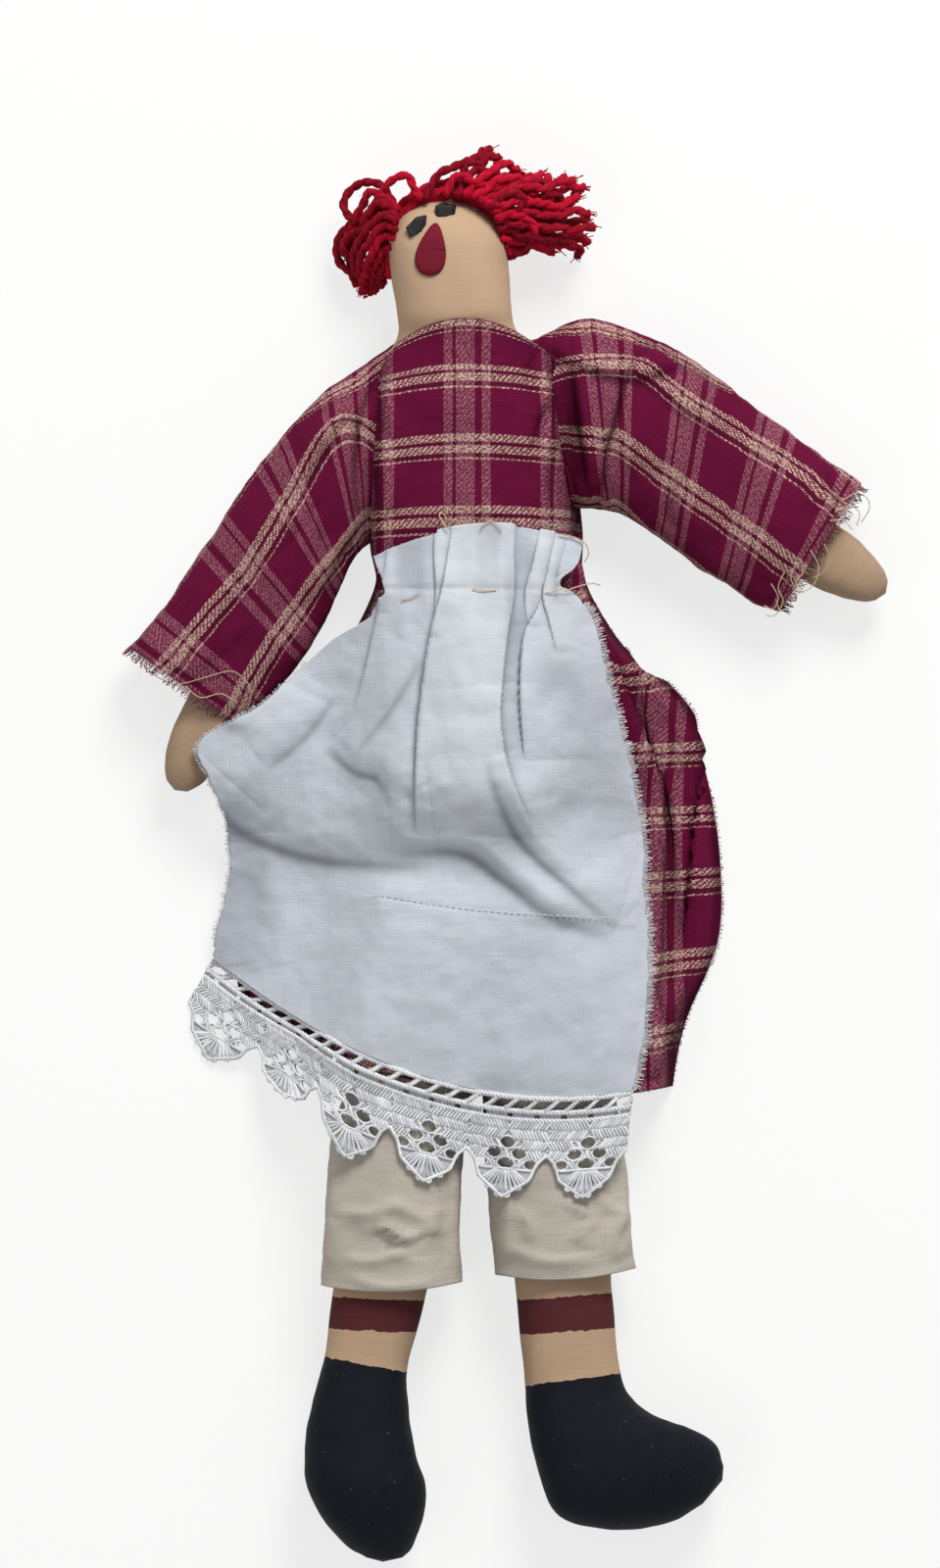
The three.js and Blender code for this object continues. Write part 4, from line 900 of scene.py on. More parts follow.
def leg_material(colours, sizes):
    """Muslin with the painted band and boot; the attributes hold the distance past each line."""
    pitch = sizes.muslin_thread
    material, nodes, shader, place, threads, wear = woven_start("painted muslin", 0.9, pitch, 0.025)
    muslin, red, black = tuple(colours.muslin), tuple(colours.paint_red), tuple(colours.paint_black)
    uneven = nodes.remap(threads["Slub"], 0.3, 0.7)
    cloth = nodes.mix(uneven, shade(muslin, 0.84), shade(muslin, 1.04))
    cloth = nodes.tint(cloth, wear["Stain"], 0.25, shade(muslin, 0.7))
    wobble = nodes.times(nodes.math("SUBTRACT", nodes.noise(place, 260.0, 3.0, 0.6), 0.5), 2.2)
    past_boot_line = nodes.plus(nodes.attribute("boot", "Fac"), wobble)
    past_band_line = nodes.plus(nodes.attribute("band", "Fac"), wobble)
    boot = nodes.math("GREATER_THAN", past_boot_line, 0.0)
    band = nodes.window(past_band_line, 0.0, nodes.attribute("band_width", "Fac"))
    band_paint = nodes.mix(uneven, shade(red, 0.85), shade(red, 1.25))
    scuff = nodes.remap(nodes.noise(place, 160.0, 5.0, 0.65), 0.35, 0.75)
    boot_paint = nodes.mix(scuff, shade(black, 0.75), shade(black, 1.45))
    lint = nodes.remap(nodes.noise(place, 800.0, 1.0, 0.4), 0.76, 0.8)
    boot_paint = nodes.tint(boot_paint, lint, 0.5, (0.25, 0.24, 0.22))
    painted = nodes.mix(boot, nodes.mix(band, cloth, band_paint), boot_paint)
    nodes.surface(shader, painted, nodes.remap(boot, 0.0, 1.0, 0.93, 0.74),
                  nodes.bump(threads["Height"], 0.3, pitch * 0.5))
    return material


def plaid_material(colours, sizes):
    """Homespun plaid. The cloth attribute holds the place of each thread, and repeat its phase in the pattern."""
    wine, dark, pitch = tuple(colours.wine), tuple(colours.brown), sizes.plaid_thread
    material, nodes, shader, place, threads, wear = woven_start(
        "homespun plaid", 0.93, pitch, 0.03, 3.0, sheen=0.1, specular=0.05, sheen_colour=wine)
    x, y, _ = nodes.split(nodes.attribute("repeat"))
    across, down = nodes.math("FRACT", x), nodes.math("FRACT", y)

    def stripes(value, *windows):
        total = 0.0
        for low, high in windows:
            total = nodes.plus(total, nodes.window(value, low, high))
        return total

    warp_stripe = stripes(across, (0.02, 0.11), (0.145, 0.34), (0.41, 0.5))
    warp_dark = stripes(across, (0.11, 0.145), (0.34, 0.41))
    weft_stripe = stripes(down, (0.0, 0.11), (0.16, 0.27), (0.335, 0.36))
    weft_dark = stripes(down, (0.11, 0.16), (0.27, 0.335))
    knots = nodes.remap(nodes.noise(place, 1250.0, 1.0, 0.5), 0.4, 0.58, 0.2, 1.0)
    ground = nodes.mix(nodes.remap(threads["Slub"], 0.3, 0.7), shade(wine, 0.78), shade(wine, 1.2))
    pink = nodes.mix(knots, shade(wine, 1.1), colours.pink)
    light = nodes.mix(knots, shade(wine, 1.3), colours.ecru)
    warp = nodes.tint(nodes.tint(ground, warp_dark, 0.7, dark), warp_stripe, 0.92, pink)
    weft = nodes.mix(weft_stripe, nodes.tint(ground, weft_dark, 0.9, dark), light)
    cloth = nodes.mix(threads["Warp"], weft, warp)
    cloth = nodes.tint(cloth, warp_stripe, 0.36, pink)
    cloth = nodes.tint(cloth, nodes.times(warp_stripe, weft_stripe), 0.8, light)
    # Painted shade between the threads: darker where the weave lies low
    cloth = nodes.mix(nodes.remap(threads["Height"], 0.0, 0.5, 0.4, 0.0), cloth, dark)
    cloth = nodes.tint(cloth, wear["Stain"], 0.15, shade(wine, 0.5))
    # Painted shade: the cloth goes nearly black in folds, dents and valleys, by the attribute that marks them
    cloth = nodes.tint(cloth, nodes.attribute("painted_fold_shade", "Fac"), 0.8, shade(wine, 0.16))
    normal = nodes.bump(threads["Height"], 0.6, pitch * 0.5)
    normal = nodes.bump(nodes.noise(place, 130.0, 4.0, 0.6), 0.35, 0.0014, normal)
    nodes.surface(shader, cloth, nodes.remap(threads["Slub"], 0.3, 0.7, 0.97, 0.88), normal)
    return material


def linen_material(colours, sizes):
    """White linen with uneven threads, a little see-through where one layer lies over the dress, with painted shade at
    two wide spots low on the apron, in folds and between the threads.
    """
    base, pitch = tuple(colours.linen), sizes.linen_thread
    material, nodes, shader, place, threads, wear = woven_start("apron linen", 0.9, pitch, 0.04, sheen=0.05)
    tone = nodes.mix(nodes.remap(threads["Slub"], 0.34, 0.66), shade(base, 0.9), shade(base, 1.05))
    tone = nodes.tint(tone, wear["Stain"], 0.1, shade(base, 0.72))
    # See-through tint where one layer lies over dark cloth; at the two widest spots low on the apron it is painted
    # shade
    sheer_and_shade = nodes.times(nodes.attribute("sheer_and_shade", "Fac"), nodes.remap(wear["Stain"], 0, 1, 0.8, 1.0))
    tone = nodes.mix(sheer_and_shade, tone, colours.linen_sheer_and_shade)
    tone = nodes.mix(nodes.attribute("layers", "Fac"), tone, colours.linen_layers)
    # Painted shade between the threads: darker where the weave lies low
    tone = nodes.mix(nodes.remap(threads["Height"], 0.0, 0.5, 0.2, 0.0), tone, shade(base, 0.62))
    # Painted shade: the linen goes grey in folds, hollows and the stitch furrow, by the attribute that marks them
    tone = nodes.tint(tone, nodes.attribute("painted_fold_shade", "Fac"), 0.7, from_srgb(88, 88, 98))
    creases = nodes.noise(nodes.stretched(place, 1.0, 0.6, 1.0), 75.0, 5.0, 0.6)
    normal = nodes.bump(creases, 0.22, 0.0014, nodes.bump(threads["Height"], 0.35, pitch * 0.5))
    nodes.surface(shader, tone, nodes.remap(threads["Slub"], 0.3, 0.7, 0.97, 0.84), normal)
    return material


def yarn_material(name, base, bright, fuzz=0.6, roughness=0.85, sheen=0.35):
    """Twisted cotton: fibres that run with the strand, and a tone of its own for each strand."""
    material, nodes, shader = new_material(name, roughness, sheen, 0.12, bright)
    place = nodes.attribute("cloth")
    fibres = nodes.noise(nodes.stretched(place, 1400.0, 350.0, 1.0), 1.0, 3.0, 0.6)
    tone = nodes.plus(nodes.times(fibres, 0.7), nodes.times(nodes.attribute("tone", "Fac"), 0.5))
    nodes.surface(shader, nodes.mix(nodes.remap(tone, 0.3, 0.85), base, bright),
                  nodes.remap(fibres, 0.3, 0.7, 0.95, roughness - 0.1), nodes.bump(fibres, fuzz, 0.0006))
    return material


def bead_material(colours):
    """Cut black glass with a little dust."""
    material, nodes, shader = new_material("black glass bead", 0.14, specular=0.38)
    place = nodes.add("ShaderNodeTexCoord").outputs["Object"]
    dust = nodes.noise(place, 900.0, 3.0, 0.6)
    grime = nodes.mix(nodes.remap(dust, 0.58, 0.8, 0, 0.2), tuple(colours.bead), (0.06, 0.06, 0.07))
    nodes.surface(shader, grime, nodes.remap(dust, 0.3, 0.8, 0.12, 0.4),
                  nodes.bump(nodes.noise(place, 350.0, 2.0), 0.12, 0.0006))
    return material


def floor_material(colours):
    """Pale floor that the camera sees lighter than it is, so that only the shadow shows on it."""
    material, nodes, shader = new_material("pale floor", 0.9)
    tree = material.node_tree
    grain = nodes.noise(nodes.add("ShaderNodeTexCoord").outputs["Object"], 3.0, 2.0)
    nodes.feed(shader["Base Color"], nodes.mix(grain, shade(colours.floor, 0.98), tuple(colours.floor)))
    glow = nodes.add("ShaderNodeEmission")
    glow.inputs["Color"].default_value = (1, 1, 1, 1)
    glow.inputs["Strength"].default_value = 1.0
    blend = nodes.add("ShaderNodeMixShader")
    nodes.feed(blend.inputs[0], nodes.times(nodes.seen_directly(), 0.74))
    tree.links.new(tree.nodes["Principled BSDF"].outputs[0], blend.inputs[1])
    tree.links.new(glow.outputs[0], blend.inputs[2])
    tree.links.new(blend.outputs[0], tree.nodes["Material Output"].inputs[0])
    return material


# Pieces


def along_body(across, up):
    cos, sin = math.cos(BODY_LEAN), math.sin(BODY_LEAN)
    return HIP[0] + across * cos - up * sin, HIP[1] + across * sin + up * cos


def lean_at(up):
    return HEAD_LEAN * max(0, (up - NECK_SHARE * TORSO_LENGTH) / HEAD_LENGTH)


def body_rungs():
    middle = BODY_LEVEL + HEAD_THICKNESS / 2
    rows = []
    for up, width, thickness in TORSO_SHARES:
        depth = thickness * TORSO_THICKNESS
        rows.append((up * TORSO_LENGTH, width * HIP_WIDTH, depth, max(HIP_LEVEL, BODY_LEVEL + depth / 2)))
    for up, width, thickness in HEAD_SHARES:
        rows.append((TORSO_LENGTH + up * HEAD_LENGTH, width * HEAD_WIDTH, thickness * HEAD_THICKNESS, middle))
    rows = along_rows(rows, 72).tolist()
    for step in range(1, 15):
        angle = step / 15 * math.pi / 2
        up = TORSO_LENGTH + HEAD_LENGTH - HEAD_DOME * (1 - math.sin(angle))
        rows.append((up, HEAD_WIDTH * math.cos(angle), HEAD_THICKNESS * math.cos(angle), middle))
    return [
        (*along_body(-w / 2 - lean_at(up), up), *along_body(w / 2 - lean_at(up), up), depth, mid)
        for up, w, depth, mid in rows
    ]


def lumpy(rings, size, seed, height):
    """Rings with the soft lumps that stuffing makes."""
    lumps = rough(rings.reshape(-1, 3), size, seed) * height
    return rings + normals_of(rings) * lumps.reshape(rings.shape[:2])[:, :, None]


def rung_of(anchor, length, shares, thickness, lowest):
    """A rung from the shares of its two ends, with its thickness and the height of its middle."""
    left_x, left_y, right_x, right_y = shares
    return (anchor[0] + left_x * length, anchor[1] - left_y * length, anchor[0] + right_x * length,
            anchor[1] - right_y * length, thickness, max(HIP_LEVEL, lowest + thickness / 2))


def make_body(colours, sizes):
    rings = lumpy(rings_of(body_rungs(), 72), 14, 3.1, 0.35)
    crown = TORSO_LENGTH + HEAD_LENGTH
    tip = (*along_body(-lean_at(crown), crown), BODY_LEVEL + HEAD_THICKNESS / 2)
    ends = (rings[0].mean(axis=0), tip)
    material = woven_material("skin muslin", tuple(colours.muslin), sizes.muslin_thread, 0.16, 0.05, 0.25)
    body = grid_piece("stuffed_body", rings, material, cloth_round(rings), True, ends)
    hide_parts("body_skin", "body_stuffing")
    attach(body, "torso")

    width = 0.9 * HIP_WIDTH - 1
    strip = np.array([
        [(*along_body((j / 12 - 0.5) * width, -1.5 - i * 1.2), HIP_LEVEL + 0.6 * math.sin(j * 1.9)) for j in range(13)]
        for i in range(10)
    ])
    tops = grid_piece("flat_leg_tops", strip, material, strip[:, :, :2])
    tops.modifiers.new("smooth", "SUBSURF")
    thickened(tops, 1.2, 0)
    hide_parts("hip_strip")
    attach(tops, "lap")


def round_end(joint, direction, width, thickness, middle, count=6):
    across = np.array([-direction[1], direction[0]])
    rungs = []
    for step in range(1, count):
        angle = step / count * math.pi / 2
        centre = joint - direction * width / 2 * math.cos(angle)
        reach = across * width / 2 * math.sin(angle)
        rungs.append((*(centre - reach), *(centre + reach), thickness * math.sin(angle), middle))
    return rungs


def make_arms(colours, sizes):
    material = woven_material("arm muslin", shade(colours.muslin, 0.8), sizes.muslin_thread, 0.3, 0.14, 0.4)
    middle = BODY_LEVEL + ARM_THICKNESS / 2
    for side in SIDES:
        joint = np.array(SHOULDERS[side], float)
        angle = ARM_ANGLES[side]
        direction = np.array([math.sin(angle), -math.cos(angle)])
        across = np.array([-direction[1], direction[0]])
        rows = along_rows([(a * ARM_LENGTH, w * ARM_WIDTH, t * ARM_THICKNESS) for a, w, t in ARM_SHARES], 48)
        rungs = round_end(joint, direction, ARM_WIDTH, ARM_THICKNESS, middle)
        for along, width, thickness in rows:
            centre = joint + direction * along
            rungs.append((*(centre - across * width / 2), *(centre + across * width / 2), thickness, middle))
        rings = lumpy(rings_of(rungs, 48), 11, 5.3, 0.3)
        tip = joint + direction * ARM_LENGTH
        start = joint - direction * ARM_WIDTH / 2
        arm = grid_piece(f"stuffed_arm_{side}", rings, material, cloth_round(rings), True,
                         ((*start, middle), (*tip, middle)))
        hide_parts(f"arm_skin_{side}", f"arm_stuffing_{side}")
        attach(arm, f"{side}_arm")


# Painted legs: the top line of the band, the width of the band, and the top line of the boot
LEG_MARKS = {
    "left": (((-58.2, -144.6), (-28.2, -145.9)), 10.5, ((-60.8, -164.2), (-33.3, -169.3))),
    "right": (((2.2, -145.6), (33.6, -143.4)), 11.5, ((4.8, -173.8), (35.8, -169.6))),
}


def below_line(flat, start, end):
    """How far points lie down the leg past a slanted line."""
    start, end = np.array(start), np.array(end)
    slope = (end[1] - start[1]) / (end[0] - start[0])
    return start[1] + slope * (flat[:, 0] - start[0]) - flat[:, 1]


def make_legs(colours, sizes):
    material = leg_material(colours, sizes)
    for side in SIDES:
        hip = np.array(HIPS[side], float)
        rungs = round_end(hip, np.array([0.0, -1.0]), LEG_WIDTH, LEG_THICKNESS / 2, HIP_LEVEL)
        rows = [(hip[0] - LEG_WIDTH / 2, hip[1], hip[0] + LEG_WIDTH / 2, hip[1], LEG_THICKNESS / 2, HIP_LEVEL)]
        for *ends, share in LEG_SHARES[side]:
            boot = float(smooth_step(*ANKLE_SHARES, (ends[1] + ends[3]) / 2))
            thickness = share * (LEG_THICKNESS + (BOOT_THICKNESS / BOOT_SHARE - LEG_THICKNESS) * boot)
            rows.append(rung_of(hip, LEG_LENGTH, ends, thickness, BODY_LEVEL + (BOOT_LEVEL - BODY_LEVEL) * boot))
        rings = lumpy(rings_of(rungs + along_rows(rows, 96).tolist(), 56), 12, 7.7, 0.35)
        toe = (hip[0] + TOE_SHARES[side][0] * LEG_LENGTH, hip[1] - TOE_SHARES[side][1] * LEG_LENGTH, HIP_LEVEL)
        start = (hip[0], hip[1] + LEG_WIDTH / 2, HIP_LEVEL)
        flat = rings.reshape(-1, 3)
        band, band_width, boot_top = LEG_MARKS[side]
        tones = {"band": below_line(flat, *band), "band_width": np.full(len(flat), band_width),
                 "boot": below_line(flat, *boot_top)}
        leg = grid_piece(f"stuffed_leg_{side}", rings, material, cloth_round(rings), True, (start, toe), tones)
        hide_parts(f"leg_skin_{side}", f"leg_stuffing_{side}")
        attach(leg, f"{side}_leg")


EYES = dict(zip(SIDES, lines_of("""
-304 2070 35 4 -3 -32 -16 -23 -42 -16 -9 32
-211 2118 38 -12 -6 -32 -32 -10 -35 6 3 36
""")))
EYE_LEVELS = [(0.78, -1.4, 0), (1.0, 0.4, 0.0), (0.98, 1.2, 0.12), (0.62, 2.4, 0.3)]
# Nose patch: its middle, half its width and length, its tilt in degrees, and how far its sides draw in at the top
NOSE = ((-25.4, 196.3), 4.2, 8.4, -9)
NOSE_TAPER = 0.48


def turned(points, angle):
    """Points of the plane turned round the origin."""
    return points @ np.array([[math.cos(angle), math.sin(angle)], [-math.sin(angle), math.cos(angle)]])


def make_face(colours, sizes):
    heights = Relief().add_all("stuffed_body")
    bead = bead_material(colours)
    for side, outline in EYES.items():
        outline = np.array(outline)[::-1]
        middle = outline.mean(axis=0)
        top = heights.read(heights.height, middle[None])[0]
        points, faces = [], []
        for share, rise, turn in EYE_LEVELS:
            spun = turned(outline - middle, turn) * share
            points += [(*(middle + off), top + rise) for off in spun]
        count = len(outline)
        for level in range(len(EYE_LEVELS) - 1):
            faces += band_faces(level * count, (level + 1) * count, count)
        faces.append(tuple(range(count))[::-1])
        faces.append(tuple(range((len(EYE_LEVELS) - 1) * count, len(EYE_LEVELS) * count)))
        eye = add_mesh(f"bead_eye_{side}", points, faces, bead)
        eye.data.polygons.foreach_set("use_smooth", [False] * len(eye.data.polygons))
        edge = eye.modifiers.new("cut edges", "BEVEL")
        edge.width, edge.segments = 0.22 * MM, 2
        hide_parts(f"eye_{side}")
        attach(eye, "torso")
    (x, y), half_width, half_length, tilt = NOSE
    shares = np.linspace(0.02, 1, 12)
    ring, angle = np.meshgrid(shares, np.linspace(0, 2 * math.pi, 49), indexing="ij")
    across = half_width * ring * np.cos(angle) * (1 - NOSE_TAPER * np.sin(angle))
    flat = turned(np.stack([across, half_length * ring * np.sin(angle)], axis=2), math.radians(tilt)) + (x, y)
    top = heights.read(heights.height, flat.reshape(-1, 2)).reshape(flat.shape[:2])
    edge = smooth_step(1.0, 0.86, shares)[:, None]
    grid = raised(flat, top + 0.25 + 0.85 * edge)
    felt = woven_material("nose felt", tuple(colours.nose), 0.0005, 0.15, 0.2, 0.4, 0.2)
    nose = grid_piece("nose_felt", grid, felt, flat)
    thickened(nose, 0.5)
    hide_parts("nose_patch")
    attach(nose, "torso")


# Yarn of the hair: the height of each strand at its start, middle and end, and its line in the plane
LEFT_STRANDS = table_of("""
27 14 20: -371 2093 -39 73 -54 20 -48 -20 -26 -32 0 -38 20 -26 51 -3 45 -32
29 25 16: -288 2128 -22 32 -16 38 -26 10 -26 -16 -28 -26 -23 -38 -25 -42 -16 -51
30 20 10: -365 2090 -22 28 -39 26 -32 6 -19 -32 -13 -28 -16 -29 -19 -39 -6 -38 -7 -38
18 8 12: -493 2074 -51 -52 -22 -44 6 -39 19 -29 29 -16 32 26
31 23 12: -368 2067 -26 39 -38 12 -22 -28 -20 -29 -3 -45 -19 -51 -16 -39
24 15 12: -448 2042 -38 -13 -36 -19 -22 -32 13 -29 38 3
32 22 8: -365 2054 -48 23 -41 -35 -32 -45 -23 -51 10 -48 25 -39
31 24 10: -368 2029 -42 16 -38 -42 -29 -45 -13 -51 23 -57
29 24 8: -371 2003 -39 3 -32 -38 -19 -48 -13 -48 -6 -45
27 21 9: -374 1971 -29 -3 -26 -35 -16 -45 -9 -45
24 18 8: -378 1946 -22 -10 -16 -35 -13 -42 -16 -25
25 17 6: -381 2016 -41 13 -45 -45 -32 -54 -13 -45 16 -32
24 16 6: -374 1984 -23 3 -25 -41 -13 -52 3 -38 -26 -29
23 13 5: -371 2042 -58 12 -51 -38 -32 -45 -10 -45 16 -44
24 14 7: -368 2074 -48 25 -51 -25 -39 -39 -19 -45 7 -44
20 14 6: -371 1958 -19 -12 -16 -32 -7 -39 -9 -25
20 12 4: -374 1997 -42 -7 -35 -44 -16 -45 13 -45 -20 -22
19 12 6: -371 1926 -19 -12 -13 -32 -13 -20
""")
RIGHT_STRANDS = table_of("""
29 25 24: -278 2125 12 35 26 38 38 29 52 19 44 -6 32 -32 36 -38
31 31 26: -208 2138 13 38 35 26 38 -13 39 -19 45 6 38 -19
28 24 14: -186 2141 26 54 26 58 38 25 32 16
31 26 20: -173 2138 35 57 36 39 28 32 36 6
29 22 12: -160 2138 45 44 32 32 38 7 0 32
32 28 18: -147 2138 45 51 44 32 45 25 39 -22
30 24 12: -134 2134 51 48 51 20 45 6 51 -3
33 28 18: -122 2134 58 36 58 32 57 -13 55 22
31 25 12: -109 2128 64 29 58 19 64 13 57 -13 42 26
33 27 20: -99 2122 67 22 64 26 70 -7 58 19 51 13
31 24 12: -90 2118 64 7 64 25 71 -12 64 25 67 10
33 29 20: -80 2112 67 0 64 13 64 -13 51 -6 52 32
30 22 12: -70 2102 64 -9 70 13 64 -13 58 -7
32 27 18: -61 2093 67 -13 64 6 71 -12 64 19 54 -10
29 22 12: -54 2080 67 -19 70 6 64 -19 64 13 39 0
31 26 18: -48 2067 67 -19 71 -6 64 -7 64 -6 51 13
28 20 10: -42 2051 61 -22 71 -7 70 -12 58 6 38 -32
29 23 16: -38 2038 64 -22 70 -13 70 -6 58 -26 0 -29
26 17 8: -35 2022 61 -12 57 -20 71 -6 57 -6
28 20 12: -29 2006 48 -16 51 13 45 -19 51 -6
24 15 7: -26 1994 52 -23 38 19 32 -19 45 -6
26 17 9: -22 1981 28 -23 39 13 38 19 32 -19
22 13 6: -19 1968 25 -22 26 12 32 20
33 31 28: -64 2099 45 39 38 12 32 -25 -25 -32 -39 6
32 29 24: -45 2061 45 19 51 -13 32 -32 -25 -25 -45 6
30 25 16: -38 2029 38 13 38 -20 13 -38 -32 -19
26 22 16: 32 2157 58 -26 44 13 39 -19 -19 -32 -39 13
24 18 12: 26 2042 51 -26 38 0 32 -19 39 19
26 18 8: -115 2134 45 16 44 32 52 -12 51 0 51 32
25 16 8: -83 2115 57 -9 58 -20 70 -25 71 -7 64 -51
24 14 7: -51 2077 51 -35 64 6 64 -32 64 -19 51 13
25 15 8: -70 2106 57 -39 64 39 71 19 70 -7 32 39
""")
TOP_STRANDS = table_of("""
23 27 23: -384 1926 3 80 26 64 45 45 54 29 74 13 57 -13 48 -35 35 -48 23 -64 16 -51
18 21 18: -400 1946 3 83 32 70 51 45 61 29 71 13 70 -10 58 -38 38 -55 22 -93
24 27 24: -374 2022 32 61 51 42 57 25 61 4 58 -20 45 -41 32 -64
23 25 23: -378 1984 16 70 45 48 61 29 67 7 61 -16 48 -42 35 -64
26 23 20: -378 2016 -9 -70 -7 -71
""")


LOWEST_YARN = 1.6
PLY_PITCH = 8.4


def strand_of(points, heights, wave, seed):
    """A strand through points of the plane, with the waves that plied yarn keeps."""
    line = evenly(along_rows(points, 12 * len(points)), 10 * len(points))
    share = np.linspace(0, 1, len(line))
    up = np.interp(share, [0, 0.5, 1], heights)
    for _ in range(8):
        up[1:-1] = (up[:-2] + 2 * up[1:-1] + up[2:]) / 4
    line = raised(line, up)
    along = line_lengths(line)
    waves = np.stack([
        np.sin(along / 1.7 + seed) + 0.5 * np.sin(along / 1.05 + seed * 2.3),
        np.sin(along / 1.5 + seed * 1.7) + 0.5 * np.sin(along / 1.2 + seed),
        1.6 * np.sin(along / 1.8 + seed * 0.6),
    ], axis=1)
    return line + waves * wave * smooth_step(0, 5, along)[:, None]


def make_hair(colours, sizes):
    base = tuple(colours.yarn)
    material = yarn_material("crimson yarn", shade(base, 0.3), shade(base, 1.15), 0.7, 0.8, 0.5)
    width = sizes.yarn_width / MM
    chance = np.random.default_rng(11)
    for side, strands, wave in (
        ("left", LEFT_STRANDS, 0.16), ("right", RIGHT_STRANDS, 0.34), ("top", TOP_STRANDS, 0.12),
    ):
        yarn = Strands()
        for k, (heights, points) in enumerate(strands):
            tone = chance.uniform(0, 1)
            strand = strand_of(points, heights, wave, k * 1.7)
            for ply in plies_of(strand, width * 0.68, PLY_PITCH, k):
                # The cut end of a ply opens a little
                yarn.add(ply, width * 0.74 * (1 + 0.25 * smooth_step(0.95, 1, np.linspace(0, 1, len(ply)))), tone)
            if side != "top":
                out = unit(strand[-1] - strand[-3])
                for _ in range(9):
                    way = out + chance.normal(0, 0.3, 3)
                    start = strand[-1] + chance.normal(0, 0.55, 3)
                    yarn.add(start + way * np.linspace(-1.2, chance.uniform(0.8, 2.2), 4)[:, None], 0.32,
                             chance.uniform(0.4, 1))
            for spot in chance.uniform(0.05, 0.95, 9):
                way = unit(chance.normal(0, 1, 3))
                reach = width * 0.5 + np.linspace(-0.3, chance.uniform(0.25, 0.8), 4)
                bend = np.linspace(0, 0.5, 4)[:, None] * chance.normal(0, 1, 3)
                yarn.add(strand[int(spot * (len(strand) - 1))] + way * reach[:, None] + bend, 0.1, 1.0)
        for line in yarn.lines:
            line[:, 2] = np.maximum(line[:, 2], LOWEST_YARN)
        piece = yarn.piece(f"yarn_{side}", material, 8)
        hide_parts(f"hair_{side}")
        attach(piece, "torso")


def cloth_tube(name, rungs, material, cloth, wrinkles, folds, sides=64, across_power=0.9, up_power=0.8, hem_drop=0):
    """A tube of cloth round a limb, open at both ends, with folds on its top and wrinkles all over."""
    rings = rings_of(rungs, sides, across_power, up_power)
    middle = (rings[:, :1] + rings[:, sides // 2:sides // 2 + 1]) / 2
    off = np.linalg.norm((rings - middle)[:, :, :2], axis=2)
    off = off / off[:, :1]
    down = smooth_step(0.82, 1, np.linspace(0, 1, len(rings)))[:, None]
    rings[:, :, 1] -= hem_drop * down * (1 - np.minimum(off, 1) ** 2)
    normal = normals_of(rings)
    normal *= np.sign((normal * (rings - rings.mean(axis=1, keepdims=True))).sum())
    flat = rings.reshape(-1, 3)
    upper = np.clip(normal.reshape(-1, 3)[:, 2] * 1.6, 0, 1)
    size, height, seed = wrinkles
    stretch = np.array([1.0, 0.7, 1.0])
    shift = rough(flat * stretch, size, seed) * height + rough(flat * stretch, size * 0.4, seed + 5) * height * 0.35
    lift, _, crease_shade = folded(flat[:, :2], folds)
    shift = shift + lift * upper
    low = flat[:, 2] < 3
    shift = np.where(low, np.minimum(shift, 0.2) * 0.3, shift)
    # Painted shade on the top of the tube: darker at the feet of steep folds, in dents and in hollows
    painted_fold_shade = np.clip(crease_shade * 0.6 + np.maximum(-lift, 0) / 4, 0, 1) * upper
    shape = rings.shape[:2]
    rings = rings + normal * shift.reshape(shape)[:, :, None]
    painted_fold_shade = np.clip(painted_fold_shade + hollows(shift.reshape(shape)).ravel() * 0.8, 0, 1)
    return grid_piece(name, rings, material, cloth(rings), True, tones={"painted_fold_shade": painted_fold_shade}), rings


def make_bloomers(colours, sizes):
    material = woven_material("bloomer muslin", tuple(colours.bloomer), sizes.muslin_thread * 1.15, 0.3, 0.16, 0.4,
                              crinkle=0.5)
    for side in SIDES:
        rows = [rung_of(HIPS[side], LEG_LENGTH, ends, share * BLOOMER_THICKNESS, BACK_LEVEL)
                for *ends, share in BLOOMER_SHARES[side]]
        wrinkles = (13, 0.8, 2.0 if side == "left" else 9.0)
        leg, rings = cloth_tube(f"bloomer_cloth_{side}", along_rows(rows, 90), material, cloth_round, wrinkles,
                                BLOOMER_FOLDS[side], hem_drop=2.6)
        thickened(leg, CLOTH_THICKNESS)
        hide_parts(f"bloomer_leg_{side}")
        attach(leg, f"{side}_leg")
    body = rings_of(body_rungs()[2:26], 64)
    seat_rings = body + normals_of(body) * (SEAT_GAP + CLOTH_THICKNESS)
    up = seat_rings[:, :, 1].mean(axis=1) - HIP[1]
    seat_rings = seat_rings[(up > 5) & (up < 50)]
    seat = grid_piece("bloomer_seat_cloth", seat_rings, material, cloth_round(seat_rings), True)
    thickened(seat, CLOTH_THICKNESS)
    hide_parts("bloomer_seat")
    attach(seat, "torso")


BLOOMER_FOLDS = {
    "left": table_of("""
3.2 2.4 1 0.3: -560 -1158 106 -13 76 32 84 -39 86 23
2.6 2.2 -1 0.3: -474 -1254 64 35 71 -42 73 35 48 -28
2.6 2 1 0.3: -538 -1309 90 -16 77 26 67 -35
2.4 2 1 0.35: -378 -1139 -25 -64 64 -58 -32 -61
2.2 1.7 -1 0.35: -294 -1178 28 -48 -28 -73
4 1.8 0 1: -595 -1043 25 -115 -19 -186
4 2 -1 0.4: -173 -1043 -16 -173 29 -160
2.2 1.2 1 0.4: -538 -1366 128 -42 154 13
"""),
    "right": table_of("""
3.4 2.6 1 0.3: 285 -1082 41 -64 32 -38 -19 -70 26 -71
5 1.4 0 1: 128 -1104 6 -112 -19 -112
3.4 1.7 1 0.3: 0 -1280 128 -45 160 13
3 1.8 0 1: 384 -1056 -13 -128 19 -128
2.6 2 -1 0.3: 176 -1136 74 -54 -26 -64 51 -45
2.6 1.5 1 0.35: 32 -1158 48 -58 -22 -51
3.4 1.5 1 0.4: -13 -1072 19 -128 -25 -144
"""),
}


